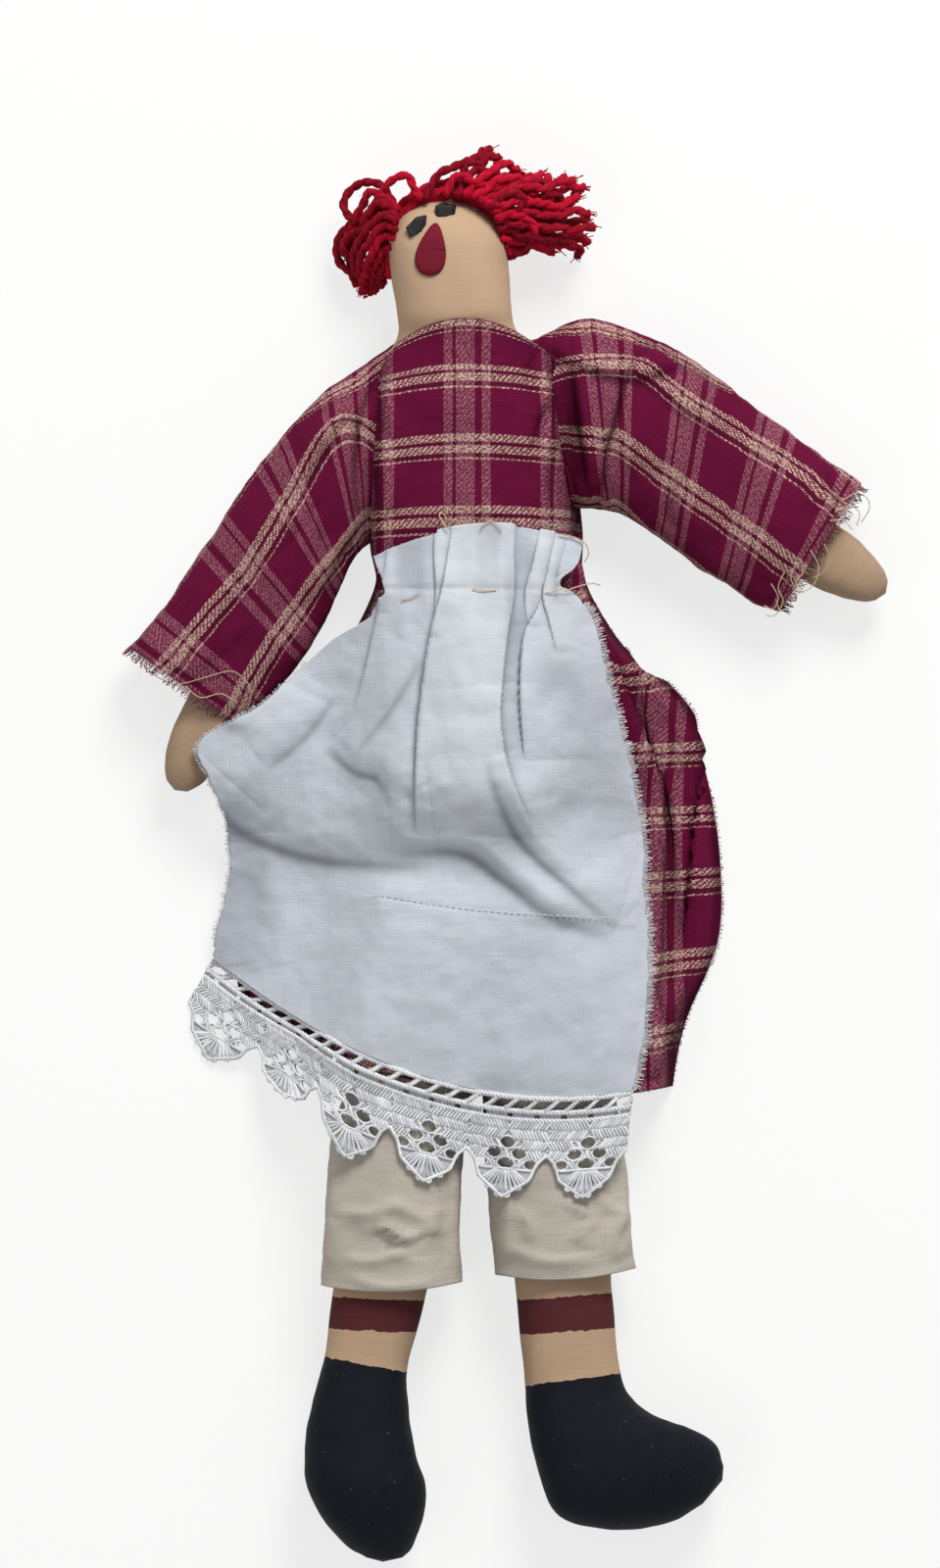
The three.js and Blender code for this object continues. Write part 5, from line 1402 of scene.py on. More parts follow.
def panel_grid(shares, anchor, width, length, rows, columns):
    """Plan of a panel: points between its side edges, and the share down and across of each."""
    table = along_rows(shares, rows + 1)
    across = np.linspace(-1, 1, columns + 1)
    left_x, left_y, right_x, right_y, arch = (table[:, k:k + 1] for k in range(5))
    mix = (1 + across) / 2
    x = (left_x + (right_x - left_x) * mix) * width
    y = left_y + (right_y - left_y) * mix
    curve = arch * (1 - across * across)
    flat = np.stack([anchor[0] + x, anchor[1] - (y - curve) * length], axis=2)
    threads = np.stack([flat[:, :, 0], anchor[1] - y * length], axis=2)
    return flat, threads


def outline_of(flat):
    return np.concatenate([flat[0], flat[1:, -1], flat[-1, -2::-1], flat[-2:0:-1, 0]])


def ragged(flat, amount, seed):
    """Moves the raw side edges of a plan in and out a little."""
    chance = np.random.default_rng(seed)
    result = flat.copy()
    knots = np.arange(0, len(flat) + 3, 3)
    for column in (0, -1):
        shifts = chance.normal(0, amount, len(flat) // 3 + 2)[:len(knots)]
        result[:, column, 0] += np.interp(np.arange(len(flat)), knots, shifts)
    return result


def fringe(name, edge, outward, lengths, material, seed, width, density=1.4, swing=0.35):
    """Frayed threads along an edge: each starts on the cloth and curls a little off it."""
    chance = np.random.default_rng(seed)
    edge = evenly(edge, int(line_lengths(edge)[-1] * density))
    along = unit(np.gradient(edge, axis=0))
    lines = []
    for k, place in enumerate(edge):
        out = np.cross(along[k], (0, 0, 1)) * outward
        lines.append(frayed_thread(place, out, along[k], chance.uniform(*lengths), swing, chance))
    return tube_piece(name, lines, [width * chance.uniform(0.7, 1.2) for _ in lines], material, 4,
                      [chance.uniform(0, 1) for _ in lines])


def frayed_thread(place, out, along, reach, swing, chance):
    bend = along * chance.normal(0, swing * reach)
    steps = np.linspace(-0.35, 1, 5)[:, None]
    line = place + out * reach * steps + bend * steps ** 2
    line[:, 2] += chance.normal(0, 0.12) * reach * steps[:, 0] - 0.1 * steps[:, 0] * reach
    line[:, 2] = np.maximum(line[:, 2], 0.3)
    return line


def thread_materials(colours):
    """Sewing and frayed threads, made once."""
    if "natural thread" not in bpy.data.materials:
        natural = tuple(colours.thread)
        for name, dark, light in (
            ("linen", from_srgb(176, 180, 188), from_srgb(236, 238, 242)),
            ("natural", shade(natural, 0.7), natural),
            ("wine", shade(colours.wine, 0.5), shade(colours.wine, 1.5)),
        ):
            yarn_material(f"{name} thread", dark, light, 0.3, 0.9, 0.2)
    return [bpy.data.materials[name] for name in ("linen thread", "natural thread", "wine thread")]


def lying_on(relief, points, lift, step=0.7):
    """A line through points of the plane that lies on a relief."""
    line = evenly(along_rows(points, 12 * len(points)), max(int(line_lengths(np.array(points))[-1] / step), 6))
    tops = np.maximum(relief.read(relief.spread(1), line[:, :2]), 0.2) + lift
    for _ in range(2):
        tops[1:-1] = np.maximum(tops[1:-1], (tops[:-2] + tops[2:]) / 2)
        # Past an edge the thread stands out on its own stiffness, and hangs only a little
        for k in range(1, len(tops)):
            tops[k] = max(tops[k], tops[k - 1] - 0.3 * step)
        tops = tops[::-1].copy()
    return raised(line, tops)


# Phase of the plaid down the dress, height in the plane against the number of the stripe pair
PLAID_ROWS = [
    (-130, 13), (-82, 11), (-57.6, 10), (-33.6, 9), (-7.4, 8), (12.8, 7), (32.6, 6), (58, 5), (82, 4), (108.1, 3),
    (130.3, 2), (152.4, 1), (165.7, 0), (190, -1),
]
PLAID_LEFT = -22.07
PLAID_ACROSS = 31.4
PLAID_DOWN = 24.2
PAIR_MIDDLE = 0.135
BAND_MIDDLE = 0.2375

# Where the bodice turns down beside each sleeve: the side that the sleeve lies on, and the line
SLEEVE_VALLEYS = table_of("""
1: 147 1658 19 -138 16 -144 13 -160 10 -176 6 -144
-1: -429 1658 -16 -154 -13 -160 -9 -160 -3 -192
""")

# Lines that the stripe pairs follow on the sleeves, and places of the triple bands that cross them
STRIPE_RAILS = {
    "left": lines_of("""
-358 1642 -173 -125 -119 -74 -76 -67 -160 -205 -109 -166 -119 -176 -128 -151
-432 1354 -32 35 -74 29 -70 -58 -96 -176 -160 -269 -160 -179 -112 -128 -48 -64
-467 1088 -93 -122 -106 -124 -134 -202 -112 -208 -22 -48
"""),
    "right": lines_of("""
77 1667 80 29 176 -6 115 -52 112 -48 109 -64 105 -44 122 -80 205 -186
128 1574 42 23 108 9 154 -9 128 -106 109 -64 176 -109 109 -70 105 -99
160 1370 45 -7 144 -22 86 -58 90 -70 144 -93 105 -77 135 -99 83 -74
"""),
}
BAND_SPOTS = dict(zip(SIDES, lines_of("""
-634 1402 -160 -218 -198 -198 -176 -250
336 1440 234 -115 246 -163 240 -157
""")))


# Room of the dress over the hips: its height, its place up the doll and half its length
HIP_ROOM = (3.6, -6, 18)
VALLEY_LEVEL = 11.0
SKIRT_EDGE_LEVEL = 1.6


def plaid_places(threads):
    """Places in the cloth and phases in the plaid for the panels of the dress."""
    x, y = threads[:, :, 0], threads[:, :, 1]
    rows = np.array(PLAID_ROWS, float)
    down = np.interp(y, rows[:, 0], rows[:, 1]) + PAIR_MIDDLE
    across = (x - PLAID_LEFT) / PLAID_ACROSS + 8
    return np.stack([x, -y, across, down + 4], axis=2)


def share_across(rungs, line):
    """For each rung, the share between its ends at which a line of the plane passes."""
    dense = evenly(along_rows(line, 12 * len(line)), 240)
    shares = np.linspace(-0.05, 1.05, 67)
    found = []
    for lx, ly, rx, ry in rungs[:, :4]:
        points = np.stack([lx + (rx - lx) * shares, ly + (ry - ly) * shares], axis=1)
        apart = np.linalg.norm(points[:, None] - dense[None], axis=2).min(axis=1)
        found.append(shares[apart.argmin()])
    found = np.array(found)
    for _ in range(6):
        found[1:-1] = (found[:-2] + found[1:-1] * 2 + found[2:]) / 4
    return found


def sleeve_places(side, rings, rungs):
    """Places in the cloth and phases in the plaid round a sleeve, so that its stripes follow their rails."""
    flat = cloth_round(rings)
    around, along = flat[:, :, 0], flat[:, :, 1]
    half = rings.shape[1] // 2
    rails = np.stack([share_across(rungs, line) for line in STRIPE_RAILS[side]])
    centre = rungs[:, :4].reshape(-1, 2, 2).mean(axis=1)
    spots = [along[np.linalg.norm(centre - np.array(spot), axis=1).argmin(), 0] for spot in BAND_SPOTS[side]]
    spots = np.array([spots[0] - 2 * PLAID_ACROSS, *spots, spots[-1] + 2 * PLAID_ACROSS])
    across = np.interp(along, spots, [-1, 1, 2, 3, 4, 6]) + BAND_MIDDLE + 4
    down = np.zeros(around.shape)
    for i in range(len(rings)):
        share = np.linalg.norm(rings[i, : half + 1, :2] - rings[i, half, :2], axis=1)
        share = np.maximum.accumulate(share[::-1] / max(share[0], 1e-6))
        arc = around[i, : half + 1][::-1]
        places = -np.interp(rails[:, i], share, arc)
        places = [places[1] - max(places[1] - places[0], 9), places[1], places[1] + max(places[2] - places[1], 9)]
        ends = [places[0] - 8 * PLAID_DOWN, *places, places[2] + 8 * PLAID_DOWN]
        down[i] = np.interp(-around[i], ends, [-8, 0, 1, 2, 10])
    return np.stack([along, around, across, down + PAIR_MIDDLE + 12], axis=2)


def make_dress(colours, sizes):
    material = plaid_material(colours, sizes)
    under = Relief().add_limbs().add_all("stuffed_body", "stuffed_arm_left", "stuffed_arm_right", "bloomer_seat_cloth")
    flat, threads = panel_grid(DRESS_SHARES, DRESS, DRESS_WIDTH, DRESS_LENGTH, 170, 120)
    places = plaid_places(threads)
    flat2 = flat.reshape(-1, 2)
    wave = rough(raised(flat2, np.zeros(len(flat2))), 22, 1.0)
    back = raised(flat, 0.45 + 0.3 * wave.reshape(flat.shape[:2]))
    panel = grid_piece("dress_back_panel", back[:, ::-1], material, places[:, ::-1])
    thickened(panel, 0.6, 0)
    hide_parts("dress_back")
    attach(panel, "torso")

    under.height = np.maximum(under.height, 0.9)
    lows = under.settle(outline_of(flat), 0.8, 0.008)
    lift, move, crease_shade = folded(flat2, DRESS_FOLDS)
    height = under.read(lows, flat2) + lift
    points = raised(flat2, height)
    height = height + rough(points, 16, 4.0) * 0.7 + rough(points, 6, 9.0) * 0.22
    # Room over the hips for the cloth to fold there without cutting into the legs
    room, place, half = HIP_ROOM
    height = height + room * np.exp(-((flat2[:, 1] - place) / half) ** 2)
    steps = np.arange(flat.shape[1])
    from_side = np.minimum(steps, steps[::-1])
    edge = smooth_step(5, 0, from_side)[None, :] * smooth_step(95, 80, flat[:, :1, 1])
    height = height.reshape(flat.shape[:2])
    height = height * (1 - edge) + edge * SKIRT_EDGE_LEVEL
    # Beside the sleeves the panel turns down into a valley, under the cloth of the sleeve
    beside = smooth_step(88, 98, flat[:, :, 1]) * smooth_step(166, 150, flat[:, :, 1])
    valley = np.zeros(height.shape)
    for (way,), line in SLEEVE_VALLEYS:
        xs, ys = line[::-1].T
        past = (flat[:, :, 0] - np.interp(flat[:, :, 1], ys, xs)) * way
        valley = np.maximum(valley, smooth_step(-6.0, 0.5, past) * beside)
    height = height * (1 - valley) + np.minimum(height, VALLEY_LEVEL) * valley
    height = np.maximum(height, 1.4)
    # Painted shade: darker at the feet of steep folds, in dents and hollows, and in the valleys beside the sleeves
    painted_fold_shade = np.clip(crease_shade * 0.7 + np.maximum(-lift, 0) / 4 + hollows(height).ravel() * 0.9
                     + valley.ravel() ** 2 * 0.9, 0, 1)
    grid = raised((flat2 + move).reshape(flat.shape), height)
    front = grid_piece("dress_front_panel", grid[:, ::-1], material, places[:, ::-1],
                       tones={"painted_fold_shade": painted_fold_shade.reshape(flat.shape[:2])[:, ::-1].ravel()})
    front.data.flip_normals()
    thickened(front, 0.7)
    wine = thread_materials(colours)[2]
    width = sizes.fringe_thread / MM
    side = fringe("dress_fringe_right", grid[60:, -1], -1, (0.4, 1.3), wine, 12, width, 1.8, 0.2)
    hem = fringe("dress_fringe_hem", grid[-1, 60:], -1, (0.5, 1.8), wine, 13, width, 1.8, 0.3)
    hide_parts("dress_front")
    return [front, side, hem]


def sleeve_rungs(side, count):
    rows = [rung_of(SHOULDERS[side], SLEEVE_LENGTH, ends, SLEEVE_THICKNESS, BACK_LEVEL)
            for ends in SLEEVE_SHARES[side]]
    # The cloth goes on under the bodice, so the shoulder shows no gap
    first, second = np.array(rows[0]), np.array(rows[1])
    inward = (first - second) / np.linalg.norm((first - second)[:2]) * 6
    rows.insert(0, tuple(first + inward))
    return along_rows(rows, count)


LOOSE_THREADS = {
    "left": lines_of("""
-1216 634 64 -58 70 -26 106 26 67 16 45 -26 22 -41 -9 -45 -23 -48
-1056 544 48 -38 67 12 45 -25
"""),
    "right": lines_of("""
979 986 26 -52 -13 -57 -38 -26 -23 26 23 32
934 944 -19 -48 16 -45 -22 -48 -29 -13 -13 36
893 912 -19 -48 16 -45 -26 -45 -29 0
1024 1005 16 -45 -22 -48 -32 -16
851 877 23 -45 -16 -38 -29 12
1082 1146 44 25 36 -13 9 -38 -25 -42
1062 1114 45 16 32 -23 -9 -41
1043 1082 45 0 26 -29
"""),
}


def frayed_cuff(side, rings, places, colours, sizes):
    """Threads that stick out of the raw end of a sleeve, natural where its stripes end."""
    _, natural, wine = thread_materials(colours)
    chance = np.random.default_rng(31 if side == "left" else 37)
    closed = np.concatenate([rings[-1], rings[-1][:1]])
    inner = np.concatenate([rings[-5], rings[-5][:1]])
    line = evenly(np.concatenate([closed, closed - inner, places[-1][:, 3:4]], axis=1)[:, :7], 150)
    lots = {"wine": [], "natural": []}
    for k in range(len(line) - 1):
        out, along = unit(line[k, 3:6]), unit(line[k + 1, :3] - line[k, :3])
        phase = line[k, 6] % 1
        striped = phase < 0.105 or 0.165 < phase < 0.27
        thread = frayed_thread(line[k, :3], out, along, chance.uniform(1.2, 3.6), 0.4, chance)
        lots["natural" if striped and k % 2 else "wine"].append(thread)
    relief = Relief().add(bpy.data.objects[f"sleeve_cloth_{side}"])
    width = sizes.fringe_thread / MM
    loose = [lying_on(relief, points, 0.5) for points in LOOSE_THREADS[side]]
    pieces = []
    for name, material, lines in (("wine", wine, lots["wine"]), ("natural", natural, lots["natural"] + loose)):
        widths = [width * (1.25 if k >= len(lots[name]) else 1.0) for k in range(len(lines))]
        piece = tube_piece(f"cuff_threads_{side}_{name}", lines, widths, material, 5,
                           [chance.uniform(0, 1) for _ in lines])
        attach(piece, f"{side}_arm")
        pieces.append(piece)
    return pieces


# How full a sleeve is at shares of its length
SLEEVE_FULLNESS_SHARES = ([0, 0.05, 0.14, 0.3, 0.8, 1], [0.72, 0.86, 0.95, 1, 0.94, 0.88])


def make_sleeves(colours, sizes):
    material = bpy.data.materials["homespun plaid"]
    for side in SIDES:
        rungs = sleeve_rungs(side, 120)
        rungs[:, 4] *= np.interp(np.linspace(0, 1, 120), *SLEEVE_FULLNESS_SHARES)
        rungs[:, 5] = BACK_LEVEL + rungs[:, 4] / 2
        sleeve, rings = cloth_tube(f"sleeve_cloth_{side}", rungs, material,
                                   lambda rings: sleeve_places(side, rings, rungs), (15, 0.9, 6.0),
                                   SLEEVE_FOLDS[side], 96, 1.0, 0.85)
        thickened(sleeve, 0.7)
        threads = frayed_cuff(side, rings, sleeve_places(side, rings, rungs), colours, sizes)
        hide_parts(f"sleeve_{side}")


def apron_plan():
    """Plan of the apron, drawn in at the waist stitches, with the pleats standing a little over the top edge."""
    flat, threads = panel_grid(APRON_SHARES, APRON, APRON_WIDTH, APRON_LENGTH, 250, 230)
    flat = ragged(flat, 0.3, 5)
    across = np.linspace(0, 1, flat.shape[1])
    for side, (height, depth, half) in WAIST_NOTCHES.items():
        near = np.exp(-((flat[:, :, 1] - height) / half) ** 2)
        share = smooth_step(0.8, 1, across) if side == "right" else smooth_step(0.12, 0, across)
        flat[:, :, 0] += near * share * depth
    top = smooth_step(0.05, 0, np.linspace(0, 1, flat.shape[0]))[:, None]
    for start, end, lift in TOP_STEPS:
        inside = (flat[:, :, 0] > start) & (flat[:, :, 0] < end)
        flat[:, :, 1] += np.where(inside, lift, 0) * top
    return flat, threads


def make_apron(colours, sizes):
    material = linen_material(colours, sizes)
    under = Relief().add_limbs(arms=True).add_all("dress_front_panel")
    flat, threads = apron_plan()
    shape = flat.shape[:2]
    lows = under.settle(outline_of(flat), 0.8, 0.007)
    flat2 = flat.reshape(-1, 2)
    lift, move, crease_shade = folded(flat2, APRON_FOLDS)
    height = under.read(lows, flat2) + lift
    gathers = np.sin(flat2[:, 0] / 1.5 + 0.8 * np.sin(flat2[:, 0] / 5.0))
    near_waist, stitched = (np.exp(-((flat2[:, 1] - place) / half) ** 2) for place, half in (WAIST, WAIST_STITCHES))
    height = height + 0.3 * gathers * near_waist - 0.4 * stitched
    points = raised(flat2, height)
    height = height + rough(points, 20, 8.0) * 0.9 + rough(points, 8, 3.0) * 0.22
    height = np.maximum(height, 1.2).reshape(shape)
    grid = raised((flat2 + move).reshape(flat.shape), height)
    # Painted shade in the linen: darker at the feet of steep folds, in hollows and along the stitch furrow
    tones = {
        "painted_fold_shade": np.clip(crease_shade * 0.9 + hollows(height).ravel() * 0.6 + stitched * 0.05, 0, 1),
        "sheer_and_shade": spots_at(flat2, SHEER_AND_SHADE_SPOTS),
        "layers": spots_at(flat2, LAYER_SPOTS),
    }
    tones = {name: tone.reshape(shape)[:, ::-1].ravel() for name, tone in tones.items()}
    places = np.stack([threads[:, :, 0], -threads[:, :, 1]], axis=2)
    apron = grid_piece("apron_cloth", grid[:, ::-1], material, places[:, ::-1], tones=tones)
    apron.data.flip_normals()
    thickened(apron, 0.6)
    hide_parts("apron")
    white, natural, _ = thread_materials(colours)
    fringe_width = sizes.fringe_thread / MM
    right, left, top = (
        fringe(f"apron_fringe_{side}", edge, outward, lengths, white, seed, fringe_width, density, swing)
        for side, edge, outward, lengths, seed, density, swing in (
            ("right", grid[30:, -1], -1, (1.2, 2.9), 3, 2.4, 0.14),
            ("left", grid[70:225, 0], 1, (0.5, 1.5), 4, 2.0, 0.2),
            ("top", grid[0], 1, (0.3, 0.9), 6, 1.6, 0.2)))

    surface = Relief().add(apron)
    stitches = [lying_on(surface, ends, 0.15) for ends in GATHER_STITCHES]
    loops = [lying_on(surface, loop, 0.7) for loop in WAIST_LOOPS]
    widths = [0.4] * len(stitches) + [0.42] * len(loops)
    gather = tube_piece("gather_stitches", stitches + loops, widths, natural, 6)
    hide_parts("gather_thread")
    hem_line = lying_on(surface, HEM_STITCH, 0.05)
    dashes = [hem_line[k:k + 3] for k in range(0, len(hem_line) - 3, 3)]
    hem = tube_piece("hem_stitches", dashes, [0.36] * len(dashes), white, 5)
    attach(gather, "torso")
    return grid, [apron, right, left, top, hem]


def spots_at(flat, spots):
    """Strength of soft spots at points of the plane."""
    total = np.zeros(len(flat))
    for *place, strength in spots:
        off = (flat - np.array(place[:2])) / np.array(place[2:])
        total = np.maximum(total, strength * np.exp(-(off ** 4).sum(axis=1)))
    return total


# Places up the doll and half lengths of the gathers and of the furrow that their stitches draw
WAIST = (84, 9)
WAIST_STITCHES = (86, 1.2)
# Notches of the waist: height, depth and half length; and steps of the top edge: start, end and lift
WAIST_NOTCHES = {"right": (88.0, -5.2, 3.6), "left": (85.5, 2.2, 4.0)}
TOP_STEPS = [(-23.4, 1.0, 1.3), (10.0, 14.4, 0.6)]
# Soft spots of the linen: the middle, half the sizes and the strength of each. The first list tints it see-through
# where one layer lies over dark cloth; its two widest spots, low on the apron, are painted shade there.
SHEER_AND_SHADE_SPOTS = [
    (-7.4, 95.4, 4, 14, 0.75), (-14.1, 96, 2.5, 14, 0.3), (-31.4, 96, 5.5, 12, 0.6), (-42.2, 92.8, 3, 10, 0.5),
    (4.2, 96, 3, 12, 0.6), (1, 70.4, 3.5, 26, 0.6), (0, 41.6, 4, 18, 0.35), (16.6, 57.6, 9, 6.5, 0.6),
    (27, 36, 13, 40, 0.35), (-89.6, -19.2, 14, 30, 0.6), (-5, -58, 90, 32, 0.34), (20, -40, 40, 26, 0.3),
]
LAYER_SPOTS = [
    (-11.5, 99.2, 8.5, 14, 0.45), (-12.2, 64, 9, 40, 0.75), (-16, 22.4, 12, 20, 0.5), (-20.8, 96, 2.6, 18, 0.6),
    (12.2, 92.8, 4, 16, 0.5), (16, 73.6, 5, 12, 0.3),
]
GATHER_STITCHES = lines_of("""
-352 822 29 7 29 16
-122 858 39 -7 38 3
115 845 32 6 32 10
""")
WAIST_LOOPS = lines_of("""
-198 1053 -16 16 -16 29 12 6 16 -22
-96 1053 16 19 22 6 20 -16 12 -16
160 1037 48 -10 38 -22 10 -32 -13 -26
179 851 45 16 45 10 25 -7
""")


def scallop_end(along):
    """Share of the lace's depth at which its scallops end."""
    local = np.asarray(along, float) * LACE_SCALLOPS
    from_valley = 2 * np.abs(local - np.round(local))
    return np.interp(from_valley, [0, 0.24, 0.36, 0.6, 1], [0.6, 0.7, 0.85, 0.92, 1.03])


class Edging:
    """Where a point of the lace lies: a share along the apron's bottom, and a share of its depth."""

    steps = 600
    swing_shares = ([0, 0.45], LACE_SWING)

    def __init__(self, apron_grid, relief):
        self.edge = evenly(apron_grid[-1], self.steps)
        self.relief = relief
        outline = np.concatenate([self.flat(np.linspace(0, 1, 400), np.zeros(400)),
                                  self.flat(np.linspace(1, 0, 400), np.full(400, 1.05))])
        self.heights = relief.settle(outline, 0.7, 0.012)

    def flat(self, along, down):
        along = np.clip(along, 0, 1)
        spots = np.linspace(0, 1, self.steps)
        start = np.stack([np.interp(along, spots, self.edge[:, k]) for k in range(2)], axis=1)
        swing = np.interp(along, *self.swing_shares)
        fans = (np.arange(LACE_SCALLOPS) + 0.5) / LACE_SCALLOPS
        depth = LACE_DEPTH * np.interp(along, fans, SCALLOP_DEPTH_SHARES)
        reach = SEAT_GAP + depth * down - 0.8
        return start + np.stack([np.sin(swing) * reach, -np.cos(swing) * reach], axis=1)

    def point(self, along, down, lift=0.0):
        along, down = np.broadcast_arrays(np.asarray(along, float), np.asarray(down, float))
        flat = self.flat(along.ravel(), down.ravel())
        return raised(flat, self.relief.read(self.heights, flat) + lift)


FAN_HOLES = [(0.0, 0.48, 0.1, 0.06), (-0.16, 0.585, 0.1, 0.06), (0.16, 0.585, 0.1, 0.06),
             (-0.31, 0.69, 0.085, 0.05), (0.31, 0.69, 0.085, 0.05), (0.0, 0.69, 0.11, 0.062),
             (-0.1, 0.87, 0.034, 0.06), (0.1, 0.87, 0.034, 0.06)]
# Rows of holes: share of the depth, half their height, how many to a scallop, and half the width of a hole
LADDER = (0.1, 0.042, 4, 0.33)
DROPS = (0.215, 0.022, 3, 0.12)


# Ends of the rows of posts, as shares of the depth, and the ropes: share of the depth, lift and width
TIER_SHARES = (0.255, 0.355, 0.455, 0.555, 0.655, 0.74)
ROPES = ((0.03, 0.6, 1.3), (0.165, 0.5, 1.3), (0.25, 0.42, 1.05))
ROPE_PITCH = 2.4


def in_fan_hole(across, down, wider=1, deeper=1):
    """Whether places of a fan lie in one of its holes."""
    return np.any([np.abs((across - a) / (h * wider)) ** 1.4 + np.abs((down - d) / (v * deeper)) ** 1.4 <= 1
                   for a, d, h, v in FAN_HOLES], axis=0)


def make_lace(colours, sizes, apron_grid):
    base = tuple(colours.lace)
    cotton = yarn_material("crochet cotton", shade(base, 0.46), shade(base, 1.18), 0.4, 0.9, 0.2)
    relief = Relief().add_limbs(arms=True).add_all("dress_front_panel", "dress_back_panel")
    lace = Edging(apron_grid, relief)
    thread = sizes.lace_thread / MM
    columns, rows = LACE_SCALLOPS * 60, 70
    aa, dd = np.meshgrid(np.linspace(0, 1, columns + 1), np.linspace(0, 1.03, rows + 1))
    local = aa * LACE_SCALLOPS
    slant = np.where((dd * 9).astype(int) % 2, 1, -1)
    ribs = 0.2 * np.abs(np.sin(local * math.pi * 17 + dd * 9 * slant)) + 0.12 * np.sin(dd * 56)
    grid = lace.point(aa, dd, ribs.ravel() + 0.1).reshape(rows + 1, columns + 1, 3)
    mid_a = (aa[:-1, :-1] + aa[1:, 1:]) / 2 * LACE_SCALLOPS
    mid_d = (dd[:-1, :-1] + dd[1:, 1:]) / 2
    keep = (mid_d < scallop_end(mid_a / LACE_SCALLOPS)) & ~in_fan_hole(mid_a - np.floor(mid_a) - 0.5, mid_d)
    for (deep, half, count, width), slant in ((LADDER, 6), (DROPS, 0)):
        cell = mid_a * count - np.floor(mid_a * count) - 0.5 + (mid_d - deep) * slant
        keep &= ~((np.abs(mid_d - deep) < half) & (np.abs(cell) < width))
    places = np.stack([aa * LACE_LENGTH * 3, dd * LACE_DEPTH], axis=2)
    # The ground sheet takes a low tone, so it shows darker than the stitches on it: painted shade in the gaps between
    # the posts
    sheet = grid_piece("crochet_ground", grid, cotton, places, keep=keep,
                       tones={"tone": np.full(grid.shape[0] * grid.shape[1], 0.2)})
    sheet.data.flip_normals()
    thickened(sheet, 0.8)

    cords = Strands()
    chance = np.random.default_rng(21)

    def strand(along_points, down_points, lift, size, count=None):
        reach = np.hypot(np.ptp(along_points) * LACE_LENGTH, np.ptp(down_points) * LACE_DEPTH)
        count = count or max(int(reach / 1.2), 3)
        pairs = evenly(np.stack([along_points, down_points], axis=1), count + 1)
        pairs = pairs[pairs[:, 1] < scallop_end(pairs[:, 0]) + 0.03]
        if len(pairs) < 2:
            return
        cords.add(lace.point(pairs[:, 0], pairs[:, 1], lift + chance.normal(0, 0.05)),
                  size * chance.uniform(0.88, 1.12), chance.uniform(0.45, 1))

    steps = np.linspace(0, 1, 460)
    for deep, lift, size in ROPES:
        for ply in range(2):
            turn = steps * LACE_LENGTH / ROPE_PITCH * 2 * math.pi + ply * math.pi
            points = lace.point(steps, deep + 0.014 * np.sin(turn), lift)
            points[:, 2] += 0.3 * np.cos(turn)
            cords.add(points, thread * size, 0.8)
    count = LADDER[2]
    for k in range(LACE_SCALLOPS * count + 1):
        middle = k / count / LACE_SCALLOPS
        slant = 0.3 / count / LACE_SCALLOPS
        for side in (-0.0016, 0.0016):
            strand([middle + side + slant, middle + side - slant], [0.04, 0.165], 0.6, thread * 1.3)
    tiers = list(zip(TIER_SHARES, TIER_SHARES[1:]))
    posts = 24
    for fan_number in range(LACE_SCALLOPS):
        centre = (fan_number + 0.5) / LACE_SCALLOPS

        def local_strand(across, down, lift, size, count=None):
            strand(centre + np.array(across) / LACE_SCALLOPS, np.array(down), lift, size, count)

        for across in (np.arange(posts) + 0.5) / posts - 0.5:
            for tier, (top, bottom) in enumerate(tiers):
                middle = (top + bottom) / 2
                lean = 0.04 if (tier % 2) == (across > 0) else -0.04
                if not in_fan_hole(across, middle, 1.1, 1.45):
                    local_strand([across - lean, across + lean], [top, bottom], 0.46, thread * 1.06)
        for tier in tiers[1:4]:
            wave = np.linspace(-0.49, 0.49, 36)
            clear = [not any(abs(w - a) < h and abs(tier[0] - d) < v for a, d, h, v in FAN_HOLES) for w in wave]
            for k in range(0, 33, 3):
                if all(clear[k:k + 4]):
                    local_strand(wave[k:k + 4], np.full(4, tier[0]), 0.5, thread * 0.8)
        for k in range(12):
            swing = k / 11 - 0.5
            local_strand([swing * 0.24, swing * 0.86], [0.755, 0.965], 0.45, thread * 1.1)
        arc = np.linspace(-0.5, 0.5, 41)
        local_strand(arc, scallop_end(centre + arc / LACE_SCALLOPS) - 0.012, 0.5, thread * 1.35, 40)
        local_strand(arc[7:-7], 0.76 - 0.02 * np.cos(arc[7:-7] * 3), 0.5, thread, 30)
        ring = np.linspace(0, 2 * math.pi, 9)
        for picot in np.linspace(-0.33, 0.33, 6):
            deep = scallop_end(centre + picot / LACE_SCALLOPS) + 0.008
            local_strand(picot + 0.03 * np.cos(ring), deep + 0.02 * np.sin(ring), 0.5, thread * 1.1, 9)
        for a, d, h, v in FAN_HOLES[:6]:
            local_strand(a + h * 1.08 * np.cos(ring), d + v * 1.12 * np.sin(ring), 0.42, thread * 0.9, 16)
    stitches = cords.piece("crochet_stitches", cotton, 5)
    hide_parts("apron_lace")
    for piece in (sheet, stitches):
        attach(piece, "lap")


def cross_shoulder(piece):
    """Bakes the place of a sleeve into its points."""
    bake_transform(piece)


# Stage, in metres: half the floor, then name, place, size and watts of each lamp, and what the camera takes in
FLOOR_HALF = 6.0
LAMPS = (("key", (0.45, 1.5, 1.3), 0.9, 38.0), ("fill", (-1.0, -0.8, 1.8), 1.4, 7.5))
PICTURE_HEIGHT = 0.512
PICTURE_MIDDLE = (-0.01296, 0.0224)
FILM_WIDTH = 36.0


